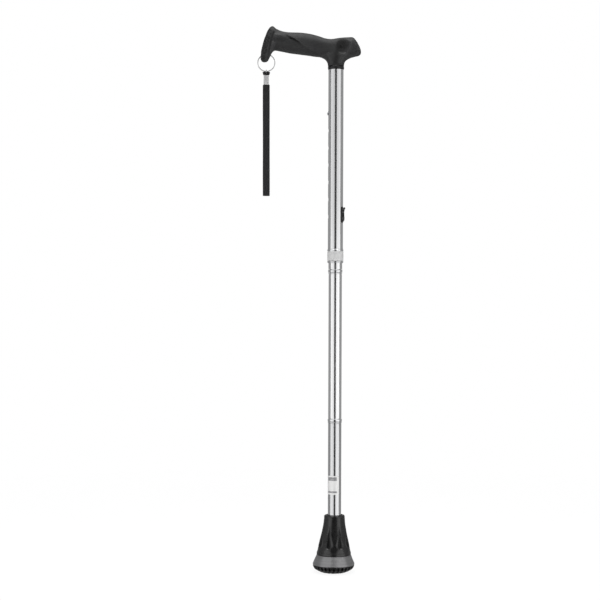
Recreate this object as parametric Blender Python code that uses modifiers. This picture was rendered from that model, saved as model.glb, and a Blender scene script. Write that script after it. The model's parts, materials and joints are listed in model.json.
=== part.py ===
"""A folding single point cane: moulded handle, telescoping upper tube, two fold joints, rubber foot
and wrist strap. Metres, +Z up. The origin is the middle of the foot's flat underside, the shaft
stands on the Z axis, and the handle's nose points towards -X."""

from math import copysign, cos, pi, radians, sin, sqrt

import bmesh
import bpy
from mathutils import Matrix, Vector

# Clearances and facets
GAP = 0.0003
TURN_STEPS = 24
SMALL_STEPS = 16

# Tubes, as radii
OUTER_TUBE_R = 0.0111
OUTER_TUBE_BORE_R = 0.01005
TUBE_R = 0.00975
TUBE_BORE_R = 0.0085
TUBE_BELL_R = 0.0101
BELL_TOP_Z = 0.4595
BELL_Z = 0.4545

# Heights along the shaft
LOWER_FOLD_Z = 0.2210
UPPER_FOLD_Z = 0.4410
COLLAR_Z = 0.4550
COLLAR_HEIGHT = 0.0210
OUTER_TUBE_Z = 0.4620
OUTER_TUBE_TOP_Z = 0.7400
HEIGHT_TUBE_TOP_Z = 0.6940
LOWER_TUBE_Z = 0.0294

# Height adjustment
HOLE_PITCH = 0.0254
HEIGHT_STEPS = 6
BUTTON_Z = 0.6758
BUTTON_R = 0.0031
BUTTON_HOLE_R = 0.0035
BUTTON_TIP_X = -0.0127
BUTTON_ROOT_X = -0.0070
BUTTON_SHOULDER_R = 0.0040
BUTTON_SLOPE = radians(-20)
SPRING_BEND_R = 0.0042

# Thumb latch
LATCH_Z = 0.5260
LATCH_PIVOT_X = 0.0120
LATCH_HEIGHT = 0.0236
LATCH_WIDTH = 0.0156
LEVER_HALF_WIDTH = 0.0032
LATCH_PIN_R = 0.00055
EAR_HALF_HEIGHT = 0.0024
SPRING_ROOM_Z = (0.5144, 0.5242)
SPRING_ROOM_HALF_WIDTH = 0.0038
PEG_Z = 0.5320
PEG_R = 0.0015
PEG_HOLE_R = 0.0023

# Locking collar
COLLAR_R = 0.01195
LIP_R = 0.01187
LIP_HEIGHT = 0.0036
COLLET_SLIT = 0.0012

# Fold joints: a tapered plug enters a ferrule, and turns out of it about a line beside the tube
FOLD_OFFSET = 0.0120
SOCKET_R = 0.0072
BEAD_R = 0.01055
BEAD_HEIGHT = 0.0044
FLANGE_R = 0.0103
FLANGE_HEIGHT = 0.0016
PLUG_HEIGHT = 0.0100
PLUG_BORE_R = 0.0030
PLUG_DEPTH = 0.0200
FERRULE_DEPTH = 0.0280

# Elastic cord
CORD_R = 0.0022
ANCHOR_TOP_Z = 0.6300
ANCHOR_HEIGHT = 0.0120
ANCHOR_LOW_Z = 0.0700
KNOT_R = 0.0042
KNOT_HEIGHT = 0.0074

# Foot
BOOT_TOP_Z = 0.0828
BOOT_FLOOR_Z = 0.0271
BOOT_BASE_Z = 0.0257
BOOT_BASE_R = 0.02525
NECK_R = 0.0180
FOOT_RING_TOP_Z = 0.0254
FOOT_RING_BASE_Z = 0.0110
FOOT_R = 0.0307
TREAD_FLAT_R = 0.0172
TREAD_NECK_TOP_Z = 0.0141
FLUTE_SIZE = (0.0030, 0.0056, 0.0170)
FLUTE_PLACE = (0.0206, 0, 0.0510)
FLUTE_TURN = radians(5)
FLUTE_LEAN = radians(-10.5)
FLUTES = 8

# Handle
STEM_Z = 0.7452
SPIGOT_Z = 0.7050
SPIGOT_TOP_Z = 0.7720
SPIGOT_R = 0.0095
SCREW_R = 0.0027
SCREW_TOP_Z = 0.7785
SCREW_HEAD_R = 0.0050
SCREW_HEAD_ROOM_R = 0.0056
HANDLE_COLLAR_R = 0.0120
HANDLE_COLLAR_RIM_R = 0.0112
HANDLE_VOXEL = 0.0037
SECTION_POINTS = 20

# Each handle section runs from an upper to a lower point of the side view, (x, z), and has a half
# width in Y. The grip's go from the butt to the tip of the nose.
GRIP_SECTIONS = [
    ((0.0362, 0.7690), (0.0367, 0.7655), 0.0050),
    ((0.0349, 0.7728), (0.0358, 0.7628), 0.0095),
    ((0.0326, 0.7775), (0.0325, 0.7606), 0.0120),
    ((0.0290, 0.7834), (0.0275, 0.7594), 0.0134),
    ((0.0246, 0.7878), (0.0220, 0.7582), 0.0138),
    ((0.0160, 0.7878), (0.0140, 0.7570), 0.0136),
    ((0.0050, 0.7870), (0.0040, 0.7570), 0.0134),
    ((-0.0066, 0.7852), (-0.0080, 0.7574), 0.0136),
    ((-0.0165, 0.7863), (-0.0180, 0.7584), 0.0142),
    ((-0.0270, 0.7898), (-0.0290, 0.7590), 0.0152),
    ((-0.0400, 0.7928), (-0.0410, 0.7607), 0.0162),
    ((-0.0540, 0.7944), (-0.0540, 0.7624), 0.0164),
    ((-0.0680, 0.7947), (-0.0670, 0.7640), 0.0158),
    ((-0.0790, 0.7962), (-0.0780, 0.7661), 0.0150),
    ((-0.0878, 0.7998), (-0.0855, 0.7675), 0.0146),
    ((-0.0938, 0.8040), (-0.0892, 0.7680), 0.0144),
    ((-0.0996, 0.7996), (-0.0922, 0.7675), 0.0142),
    ((-0.1036, 0.7912), (-0.0942, 0.7660), 0.0140),
    ((-0.1070, 0.7812), (-0.0957, 0.7624), 0.0134),
    ((-0.1096, 0.7712), (-0.0975, 0.7586), 0.0126),
    ((-0.1112, 0.7622), (-0.0990, 0.7553), 0.0116),
    ((-0.1113, 0.7556), (-0.1004, 0.7528), 0.0100),
    ((-0.1090, 0.7517), (-0.1026, 0.7513), 0.0066),
]
STEM_SECTIONS = [
    ((-0.0119, STEM_Z), (0.0118, STEM_Z), 0.0117),
    ((-0.0124, 0.7490), (0.0122, 0.7490), 0.0118),
    ((-0.0140, 0.7525), (0.0138, 0.7525), 0.0121),
    ((-0.0167, 0.7555), (0.0174, 0.7555), 0.0126),
    ((-0.0214, 0.7580), (0.0224, 0.7580), 0.0132),
    ((-0.0290, 0.7610), (0.0292, 0.7610), 0.0134),
    ((-0.0200, 0.7680), (0.0200, 0.7680), 0.0122),
]

# Wrist strap
RING_X = -0.1028
RING_Z = 0.7499
RING_R = 0.0129
RING_WIRE_R = 0.0007
RING_HOLE_Z = 0.7622
RING_HOLE_R = 0.0021
RING_HOLE_MOUTH_R = 0.0046
RING_HOLE_REACH = 0.0090
TAB_TOP_Z = 0.7367
TAB_Z = 0.7317
TAB_HALF_WIDTH = 0.0058
TAB_HALF_DEPTH = 0.0026
TAB_BORE_R = 0.0011
TAB_EYE_TOP_Z = 0.7393
TAB_EYE_HALF_WIDTH = 0.0011
TAB_EYE_HALF_DEPTH = 0.0020
FERRULE_HALF_WIDTH = 0.0039
FERRULE_HALF_DEPTH = 0.0024
FERRULE_Z = 0.7175
STRAP_TOP_Z = 0.7172
STRAP_Z = 0.5530
STRAP_WIDTH = 0.0101
STRAP_THICKNESS = 0.0014
STRAP_SPREAD = 0.0023

BLACK_RUBBER = ("black_rubber", (0.020, 0.020, 0.022), 0.75, 0.0)
BLACK_PLASTIC = ("black_plastic", (0.015, 0.015, 0.016), 0.45, 0.0)
SOFT_GRIP = ("soft_grip", (0.028, 0.028, 0.030), 0.62, 0.0)
ALUMINIUM = ("bright_aluminium", (0.80, 0.81, 0.83), 0.18, 1.0)
FROSTED = ("frosted_aluminium", (0.66, 0.67, 0.68), 0.55, 1.0)
STEEL = ("steel", (0.55, 0.56, 0.58), 0.30, 1.0)
NYLON = ("nylon", (0.75, 0.75, 0.72), 0.50, 0.0)
GREY_PLASTIC = ("grey_plastic", (0.22, 0.22, 0.225), 0.50, 0.0)
ELASTIC = ("elastic", (0.85, 0.85, 0.82), 0.80, 0.0)
WEBBING = ("webbing", (0.018, 0.018, 0.020), 0.85, 0.0)


def clear_scene():
    for obj in list(bpy.data.objects):
        bpy.data.objects.remove(obj, do_unlink=True)


def collection(name):
    made = bpy.data.collections.new(name)
    bpy.context.scene.collection.children.link(made)
    return made


def material(finish):
    name, colour, roughness, metallic = finish
    if name in bpy.data.materials:
        return bpy.data.materials[name]
    made = bpy.data.materials.new(name)
    made.use_nodes = True
    shader = made.node_tree.nodes["Principled BSDF"]
    shader.inputs["Base Color"].default_value = (*colour, 1.0)
    shader.inputs["Roughness"].default_value = roughness
    shader.inputs["Metallic"].default_value = metallic
    return made


def section_empty(name, place, parent=None):
    """An empty on a joint's axis. The pieces that move together are its children."""
    empty = bpy.data.objects.new(name, None)
    empty.empty_display_size = 0.01
    parts.objects.link(empty)
    empty.location = Vector(place)
    if parent:
        empty.parent = parent
        empty.location = Vector(place) - parent_place(parent)
    return empty


def parent_place(empty):
    place = Vector(empty.location)
    while empty.parent:
        empty = empty.parent
        place += Vector(empty.location)
    return place


def add_part(name, mesh, finish, parent):
    """A part whose mesh is drawn in the cane's frame, with its origin on its parent empty."""
    origin = parent_place(parent)
    mesh.transform(Matrix.Translation(-origin))
    obj = bpy.data.objects.new(name, mesh)
    parts.objects.link(obj)
    obj.parent = parent
    mesh.materials.clear()
    mesh.materials.append(material(finish))
    return obj


def mesh_from(name, bm):
    bmesh.ops.recalc_face_normals(bm, faces=bm.faces)
    mesh = bpy.data.meshes.new(name)
    bm.to_mesh(mesh)
    bm.free()
    return mesh


def evaluated_mesh(obj):
    """The mesh of an unparented object with its modifiers applied. The object is removed."""
    graph = bpy.context.evaluated_depsgraph_get()
    mesh = bpy.data.meshes.new_from_object(obj.evaluated_get(graph))
    mesh.transform(obj.matrix_world)
    bpy.data.objects.remove(obj, do_unlink=True)
    return mesh


def shade(mesh):
    mesh.shade_smooth()
    mesh.set_sharp_from_angle(angle=radians(35))
    return mesh


def turned_mesh(name, profile, closed=True, steps=TURN_STEPS):
    """A profile of (radius, height), down its outer side and up its inner one, turned about Z."""
    mesh = bpy.data.meshes.new(name)
    edges = [(i, i + 1) for i in range(len(profile) - 1)]
    if closed:
        edges.append((len(profile) - 1, 0))
    mesh.from_pydata([(r, 0.0, z) for r, z in profile], edges, [])
    obj = bpy.data.objects.new(name, mesh)
    bpy.context.scene.collection.objects.link(obj)
    screw = obj.modifiers.new("turn", "SCREW")
    screw.steps = screw.render_steps = steps
    screw.use_merge_vertices = True
    screw.merge_threshold = 0.00001
    return shade(evaluated_mesh(obj))


def turned(name, profile, finish, parent, closed=True, steps=TURN_STEPS):
    return add_part(name, turned_mesh(name, profile, closed, steps), finish, parent)


def ring_profile(outer, inner, low, high, edge=0.0002):
    """A tube's or a ring's cross-section, with small chamfers on its outer side."""
    return [
        (outer - edge, high),
        (outer, high - edge),
        (outer, low + edge),
        (outer - edge, low),
        (inner, low),
        (inner, high),
    ]


def cutter(name, mesh):
    obj = bpy.data.objects.new(name, mesh)
    cutters.objects.link(obj)
    obj.hide_render = True
    obj.display_type = "WIRE"
    return obj


def combine(obj, tool, operation="DIFFERENCE"):
    boolean = obj.modifiers.new(tool.name, "BOOLEAN")
    boolean.operation = operation
    boolean.solver = "EXACT"
    boolean.object = tool


def box_mesh(name, low, high, bottom_scale=1.0):
    """A box between two corners, whose bottom may be narrower in X and Y."""
    low, high = Vector(low), Vector(high)
    bm = bmesh.new()
    bmesh.ops.create_cube(bm, size=1.0)
    for vert in bm.verts:
        scale = bottom_scale if vert.co.z < 0 else 1.0
        vert.co = Vector((vert.co.x * scale, vert.co.y * scale, vert.co.z))
        vert.co = (low + high) / 2 + vert.co * (high - low)
    return mesh_from(name, bm)


def rod_mesh(name, radius, start, end, steps=SMALL_STEPS, end_radius=None):
    """A rod, or a cone frustum, from one point to another."""
    start, end = Vector(start), Vector(end)
    bm = bmesh.new()
    bmesh.ops.create_cone(
        bm,
        cap_ends=True,
        segments=steps,
        radius1=radius,
        radius2=radius if end_radius is None else end_radius,
        depth=(end - start).length,
    )
    turn = (end - start).to_track_quat("Z", "Y").to_matrix().to_4x4()
    bmesh.ops.transform(bm, matrix=Matrix.Translation((start + end) / 2) @ turn, verts=bm.verts)
    return shade(mesh_from(name, bm))


def joined_mesh(name, meshes):
    """Several separate closed shapes in one mesh, for a cutter."""
    bm = bmesh.new()
    for mesh in meshes:
        bm.from_mesh(mesh)
        bpy.data.meshes.remove(mesh)
    return mesh_from(name, bm)


def strip(name, path, width, thickness, finish, parent):
    """A flat strip along a path of (x, y, z), as wide as width across the path's plane."""
    across = Vector((0, 1, 0)) if all(abs(p[1]) < 1e-9 for p in path) else Vector((1, 0, 0))
    bm = bmesh.new()
    rows = [
        [bm.verts.new(Vector(p) + across * side * width / 2) for side in (-1, 1)] for p in path
    ]
    for (a, b), (c, d) in zip(rows, rows[1:]):
        bm.faces.new((a, b, d, c))
    obj = add_part(name, mesh_from(name, bm), finish, parent)
    solid = obj.modifiers.new("thickness", "SOLIDIFY")
    solid.thickness = thickness
    solid.offset = 0.0
    solid.use_even_offset = True
    return obj


def oval_section(upper, lower, half_width, power=2.15):
    """A rounded section through two points of the side view, (x, z), and as wide as stated."""
    upper, lower = Vector((upper[0], 0, upper[1])), Vector((lower[0], 0, lower[1]))
    middle, half = (upper + lower) / 2, (upper - lower) / 2
    ring = []
    for i in range(SECTION_POINTS):
        angle = 2 * pi * i / SECTION_POINTS
        along = copysign(abs(cos(angle)) ** (2 / power), cos(angle))
        across = copysign(abs(sin(angle)) ** (2 / power), sin(angle))
        ring.append(middle + half * along + Vector((0, half_width * across, 0)))
    return ring


def loft_mesh(name, sections):
    bm = bmesh.new()
    rings = [[bm.verts.new(p) for p in oval_section(*section)] for section in sections]
    for ring, following in zip(rings, rings[1:]):
        for i in range(SECTION_POINTS):
            j = (i + 1) % SECTION_POINTS
            bm.faces.new((ring[i], ring[j], following[j], following[i]))
    bm.faces.new(rings[0])
    bm.faces.new(rings[-1])
    return mesh_from(name, bm)


def make_handle(root):
    grip = add_part("handle_grip", loft_mesh("handle_grip", GRIP_SECTIONS), SOFT_GRIP, root)
    combine(grip, cutter("stem_shape", loft_mesh("stem_shape", STEM_SECTIONS)), "UNION")
    remesh = grip.modifiers.new("blend", "REMESH")
    remesh.mode = "VOXEL"
    remesh.voxel_size = HANDLE_VOXEL
    remesh.use_smooth_shade = True
    smooth = grip.modifiers.new("soften", "SMOOTH")
    smooth.factor = 0.4
    smooth.iterations = 2
    flat_base = box_mesh("stem_base", (-0.02, -0.02, STEM_Z - 0.01), (0.02, 0.02, STEM_Z))
    combine(grip, cutter("stem_base", flat_base))
    pocket_r = SPIGOT_R + GAP
    pocket = [
        (0.0, SCREW_TOP_Z + GAP),
        (SCREW_R + GAP, SCREW_TOP_Z + GAP),
        (SCREW_R + GAP, SPIGOT_TOP_Z + GAP),
        (pocket_r, SPIGOT_TOP_Z + GAP),
        (pocket_r, STEM_Z - 0.002),
        (0.0, STEM_Z - 0.002),
    ]
    combine(grip, cutter("handle_pocket", turned_mesh("handle_pocket", pocket, closed=False)))
    hourglass = [
        (0.0, RING_HOLE_REACH),
        (RING_HOLE_MOUTH_R, RING_HOLE_REACH),
        (RING_HOLE_R, 0.0),
        (RING_HOLE_MOUTH_R, -RING_HOLE_REACH),
        (0.0, -RING_HOLE_REACH),
    ]
    ring_hole = turned_mesh("ring_hole", hourglass, closed=False, steps=SMALL_STEPS)
    place = Matrix.Translation((RING_X, 0, RING_HOLE_Z))
    ring_hole.transform(place @ Matrix.Rotation(pi / 2, 4, "Y"))
    combine(grip, cutter("ring_hole", ring_hole))

    head_low, head_high = SPIGOT_Z + 0.0070, SPIGOT_Z + 0.0120
    turned(
        "handle_spigot",
        [
            (SPIGOT_R - 0.0006, SPIGOT_TOP_Z),
            (SPIGOT_R, SPIGOT_TOP_Z - 0.0006),
            (SPIGOT_R, SPIGOT_Z + 0.0010),
            (SPIGOT_R - 0.0010, SPIGOT_Z),
            (SCREW_HEAD_ROOM_R, SPIGOT_Z),
            (SCREW_HEAD_ROOM_R, head_high + GAP),
            (SCREW_R + GAP, head_high + GAP),
            (SCREW_R + GAP, SPIGOT_TOP_Z),
        ],
        BLACK_PLASTIC,
        root,
    )
    turned(
        "handle_screw",
        [
            (0.0, SCREW_TOP_Z),
            (SCREW_R - 0.0006, SCREW_TOP_Z),
            (SCREW_R, SCREW_TOP_Z - 0.0008),
            (SCREW_R, head_high),
            (SCREW_HEAD_R, head_high),
            (SCREW_HEAD_R, head_low + 0.0004),
            (SCREW_HEAD_R - 0.0004, head_low),
            (0.0, head_low),
        ],
        STEEL,
        root,
        closed=False,
        steps=SMALL_STEPS,
    )
    low, high, rim = OUTER_TUBE_TOP_Z + GAP, STEM_Z - GAP, 0.0008
    turned(
        "handle_collar",
        [
            (HANDLE_COLLAR_RIM_R, high),
            (HANDLE_COLLAR_R - rim / 3, high - rim / 3),
            (HANDLE_COLLAR_R, high - rim),
            (HANDLE_COLLAR_R, low + rim),
            (HANDLE_COLLAR_R - rim / 3, low + rim / 3),
            (HANDLE_COLLAR_RIM_R, low),
            (SPIGOT_R + GAP, low),
            (SPIGOT_R + GAP, high),
        ],
        BLACK_PLASTIC,
        root,
    )


def make_outer_tube(root):
    tube = turned(
        "outer_tube",
        ring_profile(OUTER_TUBE_R, OUTER_TUBE_BORE_R, OUTER_TUBE_Z, OUTER_TUBE_TOP_Z),
        ALUMINIUM,
        root,
    )
    holes = [
        rod_mesh(
            "hole",
            BUTTON_HOLE_R,
            (-0.014, 0, BUTTON_Z - HOLE_PITCH * step),
            (-0.006, 0, BUTTON_Z - HOLE_PITCH * step),
        )
        for step in range(HEIGHT_STEPS + 1)
    ]
    combine(tube, cutter("button_holes", joined_mesh("button_holes", holes)))
    peg_hole = rod_mesh("peg_hole", PEG_R + 0.0006, (0.006, 0, PEG_Z), (0.014, 0, PEG_Z))
    combine(tube, cutter("peg_hole", peg_hole))
    half, (low, high) = SPRING_ROOM_HALF_WIDTH, SPRING_ROOM_Z
    spring_room = box_mesh("spring_room", (0.006, -half, low), (0.014, half, high))
    combine(tube, cutter("spring_room", spring_room))


def make_latch(root, pivot):
    low, high = LATCH_Z - LATCH_HEIGHT / 2, LATCH_Z + LATCH_HEIGHT / 2
    inner, outer = OUTER_TUBE_R + GAP, 0.0123
    housing = turned("latch_housing", ring_profile(outer, inner, low, high), BLACK_PLASTIC, root)
    half = LATCH_WIDTH / 2
    keep = box_mesh("housing_width", (0.004, -half, low - 0.001), (0.020, half, high + 0.001))
    combine(housing, cutter("housing_width", keep), "INTERSECT")
    ears = box_mesh(
        "latch_ears",
        (0.0110, -0.0050, LATCH_Z - EAR_HALF_HEIGHT),
        (0.0128, 0.0050, LATCH_Z + EAR_HALF_HEIGHT),
    )
    combine(housing, cutter("latch_ears", ears), "UNION")
    opening = LEVER_HALF_WIDTH + GAP
    window = box_mesh(
        "housing_window", (0.004, -opening, low + 0.0012), (0.020, opening, high - 0.0006)
    )
    combine(housing, cutter("housing_window", window))
    tube_room = rod_mesh("tube_room", inner, (0, 0, low - 0.002), (0, 0, high + 0.002), TURN_STEPS)
    combine(housing, cutter("tube_room", tube_room))
    axle = [(LATCH_PIVOT_X, y, LATCH_Z) for y in (-0.0046, 0.0046)]
    pin_room = [(LATCH_PIVOT_X, y, LATCH_Z) for y in (-0.0048, 0.0048)]
    room = rod_mesh("pin_room", LATCH_PIN_R + 0.0001, *pin_room, steps=12)
    combine(housing, cutter("pin_room", room))
    add_part("latch_pin", rod_mesh("latch_pin", LATCH_PIN_R, *axle, steps=12), STEEL, root)

    leaf = [(0.0105, 0, 0.5148), (0.0102, 0, 0.5170), (0.0104, 0, 0.5195), (0.0110, 0, 0.5222)]
    strip("latch_spring", leaf, 0.0044, 0.00025, STEEL, root)

    # The lever's side view, from its beak down its outer side and back up beside the tube
    outline = [
        (0.0121, 0.5371),
        (0.0142, 0.5368),
        (0.0145, 0.5358),
        (0.0136, 0.5342),
        (0.0129, 0.5310),
        (0.0128, 0.5268),
        (0.0131, 0.5236),
        (0.0133, 0.5206),
        (0.0130, 0.5178),
        (0.0122, 0.5161),
        (0.0115, 0.5164),
        (0.0115, 0.5366),
    ]
    bm = bmesh.new()
    sides = [
        [bm.verts.new((x, y, z)) for x, z in outline]
        for y in (-LEVER_HALF_WIDTH, LEVER_HALF_WIDTH)
    ]
    bm.faces.new(sides[0])
    bm.faces.new(sides[1])
    for i in range(len(outline)):
        j = (i + 1) % len(outline)
        bm.faces.new((sides[0][i], sides[0][j], sides[1][j], sides[1][i]))
    lever = add_part("latch_lever", mesh_from("latch_lever", bm), BLACK_PLASTIC, pivot)
    peg = rod_mesh("lever_peg", PEG_R, (0.0089, 0, PEG_Z), (0.0122, 0, PEG_Z), steps=16)
    combine(lever, cutter("lever_peg", peg), "UNION")
    axle_hole = rod_mesh("axle_hole", LATCH_PIN_R + 0.0002, *pin_room, steps=12)
    combine(lever, cutter("axle_hole", axle_hole))


def make_collar(root, axis):
    top = COLLAR_Z + COLLAR_HEIGHT
    over_tube = OUTER_TUBE_R + GAP
    turned(
        "collar_upper_lip",
        ring_profile(LIP_R, over_tube, top - LIP_HEIGHT, top, 0.0003),
        ALUMINIUM,
        root,
    )
    low, high = COLLAR_Z + LIP_HEIGHT - 0.0004, top - LIP_HEIGHT - GAP
    turned(
        "locking_collar",
        ring_profile(COLLAR_R, over_tube, low, high, 0.0004),
        FROSTED,
        axis,
    )
    turned(
        "collar_lower_lip",
        ring_profile(LIP_R, TUBE_BELL_R + GAP, COLLAR_Z, low - GAP, 0.0003),
        ALUMINIUM,
        axis,
    )
    collet = turned(
        "collet",
        ring_profile(over_tube - 2 * GAP, TUBE_R + 0.0002, low, OUTER_TUBE_Z - GAP),
        NYLON,
        root,
    )
    slit = box_mesh(
        "collet_slit",
        (0.0, -COLLET_SLIT / 2, low - 0.001),
        (0.020, COLLET_SLIT / 2, OUTER_TUBE_Z),
    )
    combine(collet, cutter("collet_slit", slit))


def make_height_tube(section, button):
    tube = turned(
        "height_tube",
        [
            (TUBE_R, HEIGHT_TUBE_TOP_Z),
            (TUBE_R, BELL_TOP_Z),
            (TUBE_BELL_R, BELL_Z),
            (TUBE_BELL_R, UPPER_FOLD_Z + BEAD_HEIGHT + 2 * GAP),
            (TUBE_BORE_R, UPPER_FOLD_Z + BEAD_HEIGHT + 2 * GAP),
            (TUBE_BORE_R, HEIGHT_TUBE_TOP_Z),
        ],
        ALUMINIUM,
        section,
    )
    hole = rod_mesh("button_way", BUTTON_R + GAP, (-0.012, 0, BUTTON_Z), (-0.005, 0, BUTTON_Z))
    combine(tube, cutter("button_way", hole))
    holes = [
        rod_mesh(
            "hole",
            PEG_HOLE_R,
            (0.006, 0, PEG_Z + HOLE_PITCH * step),
            (0.012, 0, PEG_Z + HOLE_PITCH * step),
            steps=16,
        )
        for step in range(HEIGHT_STEPS + 1)
    ]
    combine(tube, cutter("peg_holes", joined_mesh("peg_holes", holes)))
    top = HEIGHT_TUBE_TOP_Z + GAP
    turned(
        "glide_cap",
        [
            (0.0090, top + 0.0030),
            (0.0098, top + 0.0022),
            (0.0098, top),
            (TUBE_BORE_R - GAP, top),
            (TUBE_BORE_R - GAP, top - 0.0045),
            (0.0062, top - 0.0045),
            (0.0062, top + 0.0030),
        ],
        NYLON,
        section,
    )
    # The button is a stepped pin. Its head slopes, so that the tube above slides it in
    reach = BUTTON_ROOT_X - BUTTON_TIP_X
    pin = turned_mesh(
        "snap_button",
        [
            (0.0, reach),
            (BUTTON_R - 0.0003, reach),
            (BUTTON_R, reach - 0.0003),
            (BUTTON_R, 0.0),
            (BUTTON_SHOULDER_R, 0.0),
            (BUTTON_SHOULDER_R, -0.0008),
            (0.0, -0.0008),
        ],
        closed=False,
        steps=SMALL_STEPS,
    )
    place = Matrix.Translation((BUTTON_ROOT_X, 0, BUTTON_Z))
    pin.transform(place @ Matrix.Rotation(-pi / 2, 4, "Y"))
    head = add_part("snap_button", pin, STEEL, button)
    slope = box_mesh("button_slope", (-0.004, -0.006, -0.012), (0.004, 0.006, 0.0))
    slope.transform(
        Matrix.Translation((BUTTON_TIP_X - 0.0040, 0, BUTTON_Z + 0.0010))
        @ Matrix.Rotation(BUTTON_SLOPE, 4, "Y")
    )
    combine(head, cutter("button_slope", slope))
    bend_z, legs_z = BUTTON_Z - 0.0240, BUTTON_Z + 0.0050
    path = [(-0.0058, 0, legs_z), (-0.0054, 0, BUTTON_Z - 0.006)]
    path += [
        (
            0.0007 - SPRING_BEND_R * cos(pi * i / 8),
            0,
            bend_z + SPRING_BEND_R - SPRING_BEND_R * sin(pi * i / 8),
        )
        for i in range(9)
    ]
    path += [(0.0066, 0, BUTTON_Z - 0.006), (0.0070, 0, legs_z)]
    strip("button_spring", path, 0.0056, 0.0005, STEEL, section)


def make_fold_joint(above, below, fold_z, number):
    """The ferrule in the end of the tube above, and the plug in the end of the tube below."""
    bead_low, bead_high = fold_z + GAP / 2, fold_z + BEAD_HEIGHT
    bead_mid = (bead_low + bead_high) / 2
    sleeve_r = TUBE_BORE_R - GAP
    bulge = [
        (BEAD_R - 0.0007 + 0.0007 * cos(a), bead_mid + (bead_high - bead_mid) * sin(a))
        for a in (radians(90), radians(50), radians(20), radians(-20), radians(-50), radians(-90))
    ]
    turned(
        f"{number}_joint_ferrule",
        [(sleeve_r, fold_z + FERRULE_DEPTH), (sleeve_r, bead_high)]
        + bulge
        + [
            (SOCKET_R + 0.0005, bead_low),
            (SOCKET_R, bead_low + 0.0006),
            (SOCKET_R, fold_z + FERRULE_DEPTH),
        ],
        ALUMINIUM,
        above,
    )
    flange_high = fold_z - GAP / 2
    flange_low = flange_high - FLANGE_HEIGHT
    reach = FOLD_OFFSET + SOCKET_R
    taper = [
        (sqrt(reach**2 - h**2) - FOLD_OFFSET - 0.0003, fold_z + h)
        for h in [PLUG_HEIGHT * step / 4 for step in range(4, -1, -1)]
    ]
    taper[-1] = (taper[-1][0], flange_high)
    turned(
        f"{number}_joint_plug",
        taper
        + [
            (FLANGE_R - 0.0003, flange_high),
            (FLANGE_R, flange_high - 0.0004),
            (FLANGE_R, flange_low + 0.0004),
            (FLANGE_R - 0.0003, flange_low),
            (sleeve_r, flange_low),
            (sleeve_r, fold_z - PLUG_DEPTH),
            (PLUG_BORE_R, fold_z - PLUG_DEPTH),
            (PLUG_BORE_R, fold_z + PLUG_HEIGHT),
        ],
        ALUMINIUM,
        below,
    )


def joint_tube(name, low, high, parent):
    return turned(name, ring_profile(TUBE_R, TUBE_BORE_R, low, high), ALUMINIUM, parent)


def make_cord(height, middle, lower):
    """The elastic cord lies in three stretches, which meet at the tips of the fold joints' plugs."""
    meet_upper, meet_lower = UPPER_FOLD_Z + PLUG_HEIGHT, LOWER_FOLD_Z + PLUG_HEIGHT
    knot_low = ANCHOR_TOP_Z + GAP
    turned(
        "upper_cord",
        [
            (0.0, knot_low + KNOT_HEIGHT),
            (KNOT_R * 0.7, knot_low + KNOT_HEIGHT * 0.86),
            (KNOT_R, knot_low + KNOT_HEIGHT * 0.5),
            (KNOT_R * 0.7, knot_low),
            (CORD_R, knot_low),
            (CORD_R, meet_upper + GAP),
            (0.0, meet_upper + GAP),
        ],
        ELASTIC,
        height,
        closed=False,
        steps=16,
    )
    turned(
        "middle_cord",
        [(0.0, meet_upper), (CORD_R, meet_upper), (CORD_R, meet_lower + GAP), (0.0, meet_lower + GAP)],
        ELASTIC,
        middle,
        closed=False,
        steps=16,
    )
    knot_high = ANCHOR_LOW_Z - GAP
    turned(
        "lower_cord",
        [
            (0.0, meet_lower),
            (CORD_R, meet_lower),
            (CORD_R, knot_high),
            (KNOT_R * 0.7, knot_high),
            (KNOT_R, knot_high - KNOT_HEIGHT * 0.5),
            (KNOT_R * 0.7, knot_high - KNOT_HEIGHT * 0.86),
            (0.0, knot_high - KNOT_HEIGHT),
        ],
        ELASTIC,
        lower,
        closed=False,
        steps=16,
    )
    for name, low, parent in (
        ("upper_cord_anchor", ANCHOR_TOP_Z - ANCHOR_HEIGHT, height),
        ("lower_cord_anchor", ANCHOR_LOW_Z, lower),
    ):
        profile = ring_profile(TUBE_BORE_R - GAP, CORD_R + GAP, low, low + ANCHOR_HEIGHT)
        turned(name, profile, NYLON, parent, steps=24)


def flute_mesh(index):
    """A long teardrop, pointed at its top, that leans with the boot's side."""
    bm = bmesh.new()
    bmesh.ops.create_uvsphere(bm, u_segments=8, v_segments=6, radius=1.0)
    deep, wide, tall = FLUTE_SIZE
    for vert in bm.verts:
        narrow = 1 - 0.55 * max(0.0, vert.co.z + 0.3) / 1.3
        vert.co = Vector((vert.co.x * deep, vert.co.y * wide * narrow, vert.co.z * tall))
    lean = Matrix.Rotation(FLUTE_LEAN, 4, "Y")
    place = Matrix.Translation(FLUTE_PLACE)
    turn = Matrix.Rotation(2 * pi * (index + 0.5) / FLUTES + FLUTE_TURN, 4, "Z")
    bmesh.ops.transform(bm, matrix=turn @ place @ lean, verts=bm.verts)
    return mesh_from("flute", bm)


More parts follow.
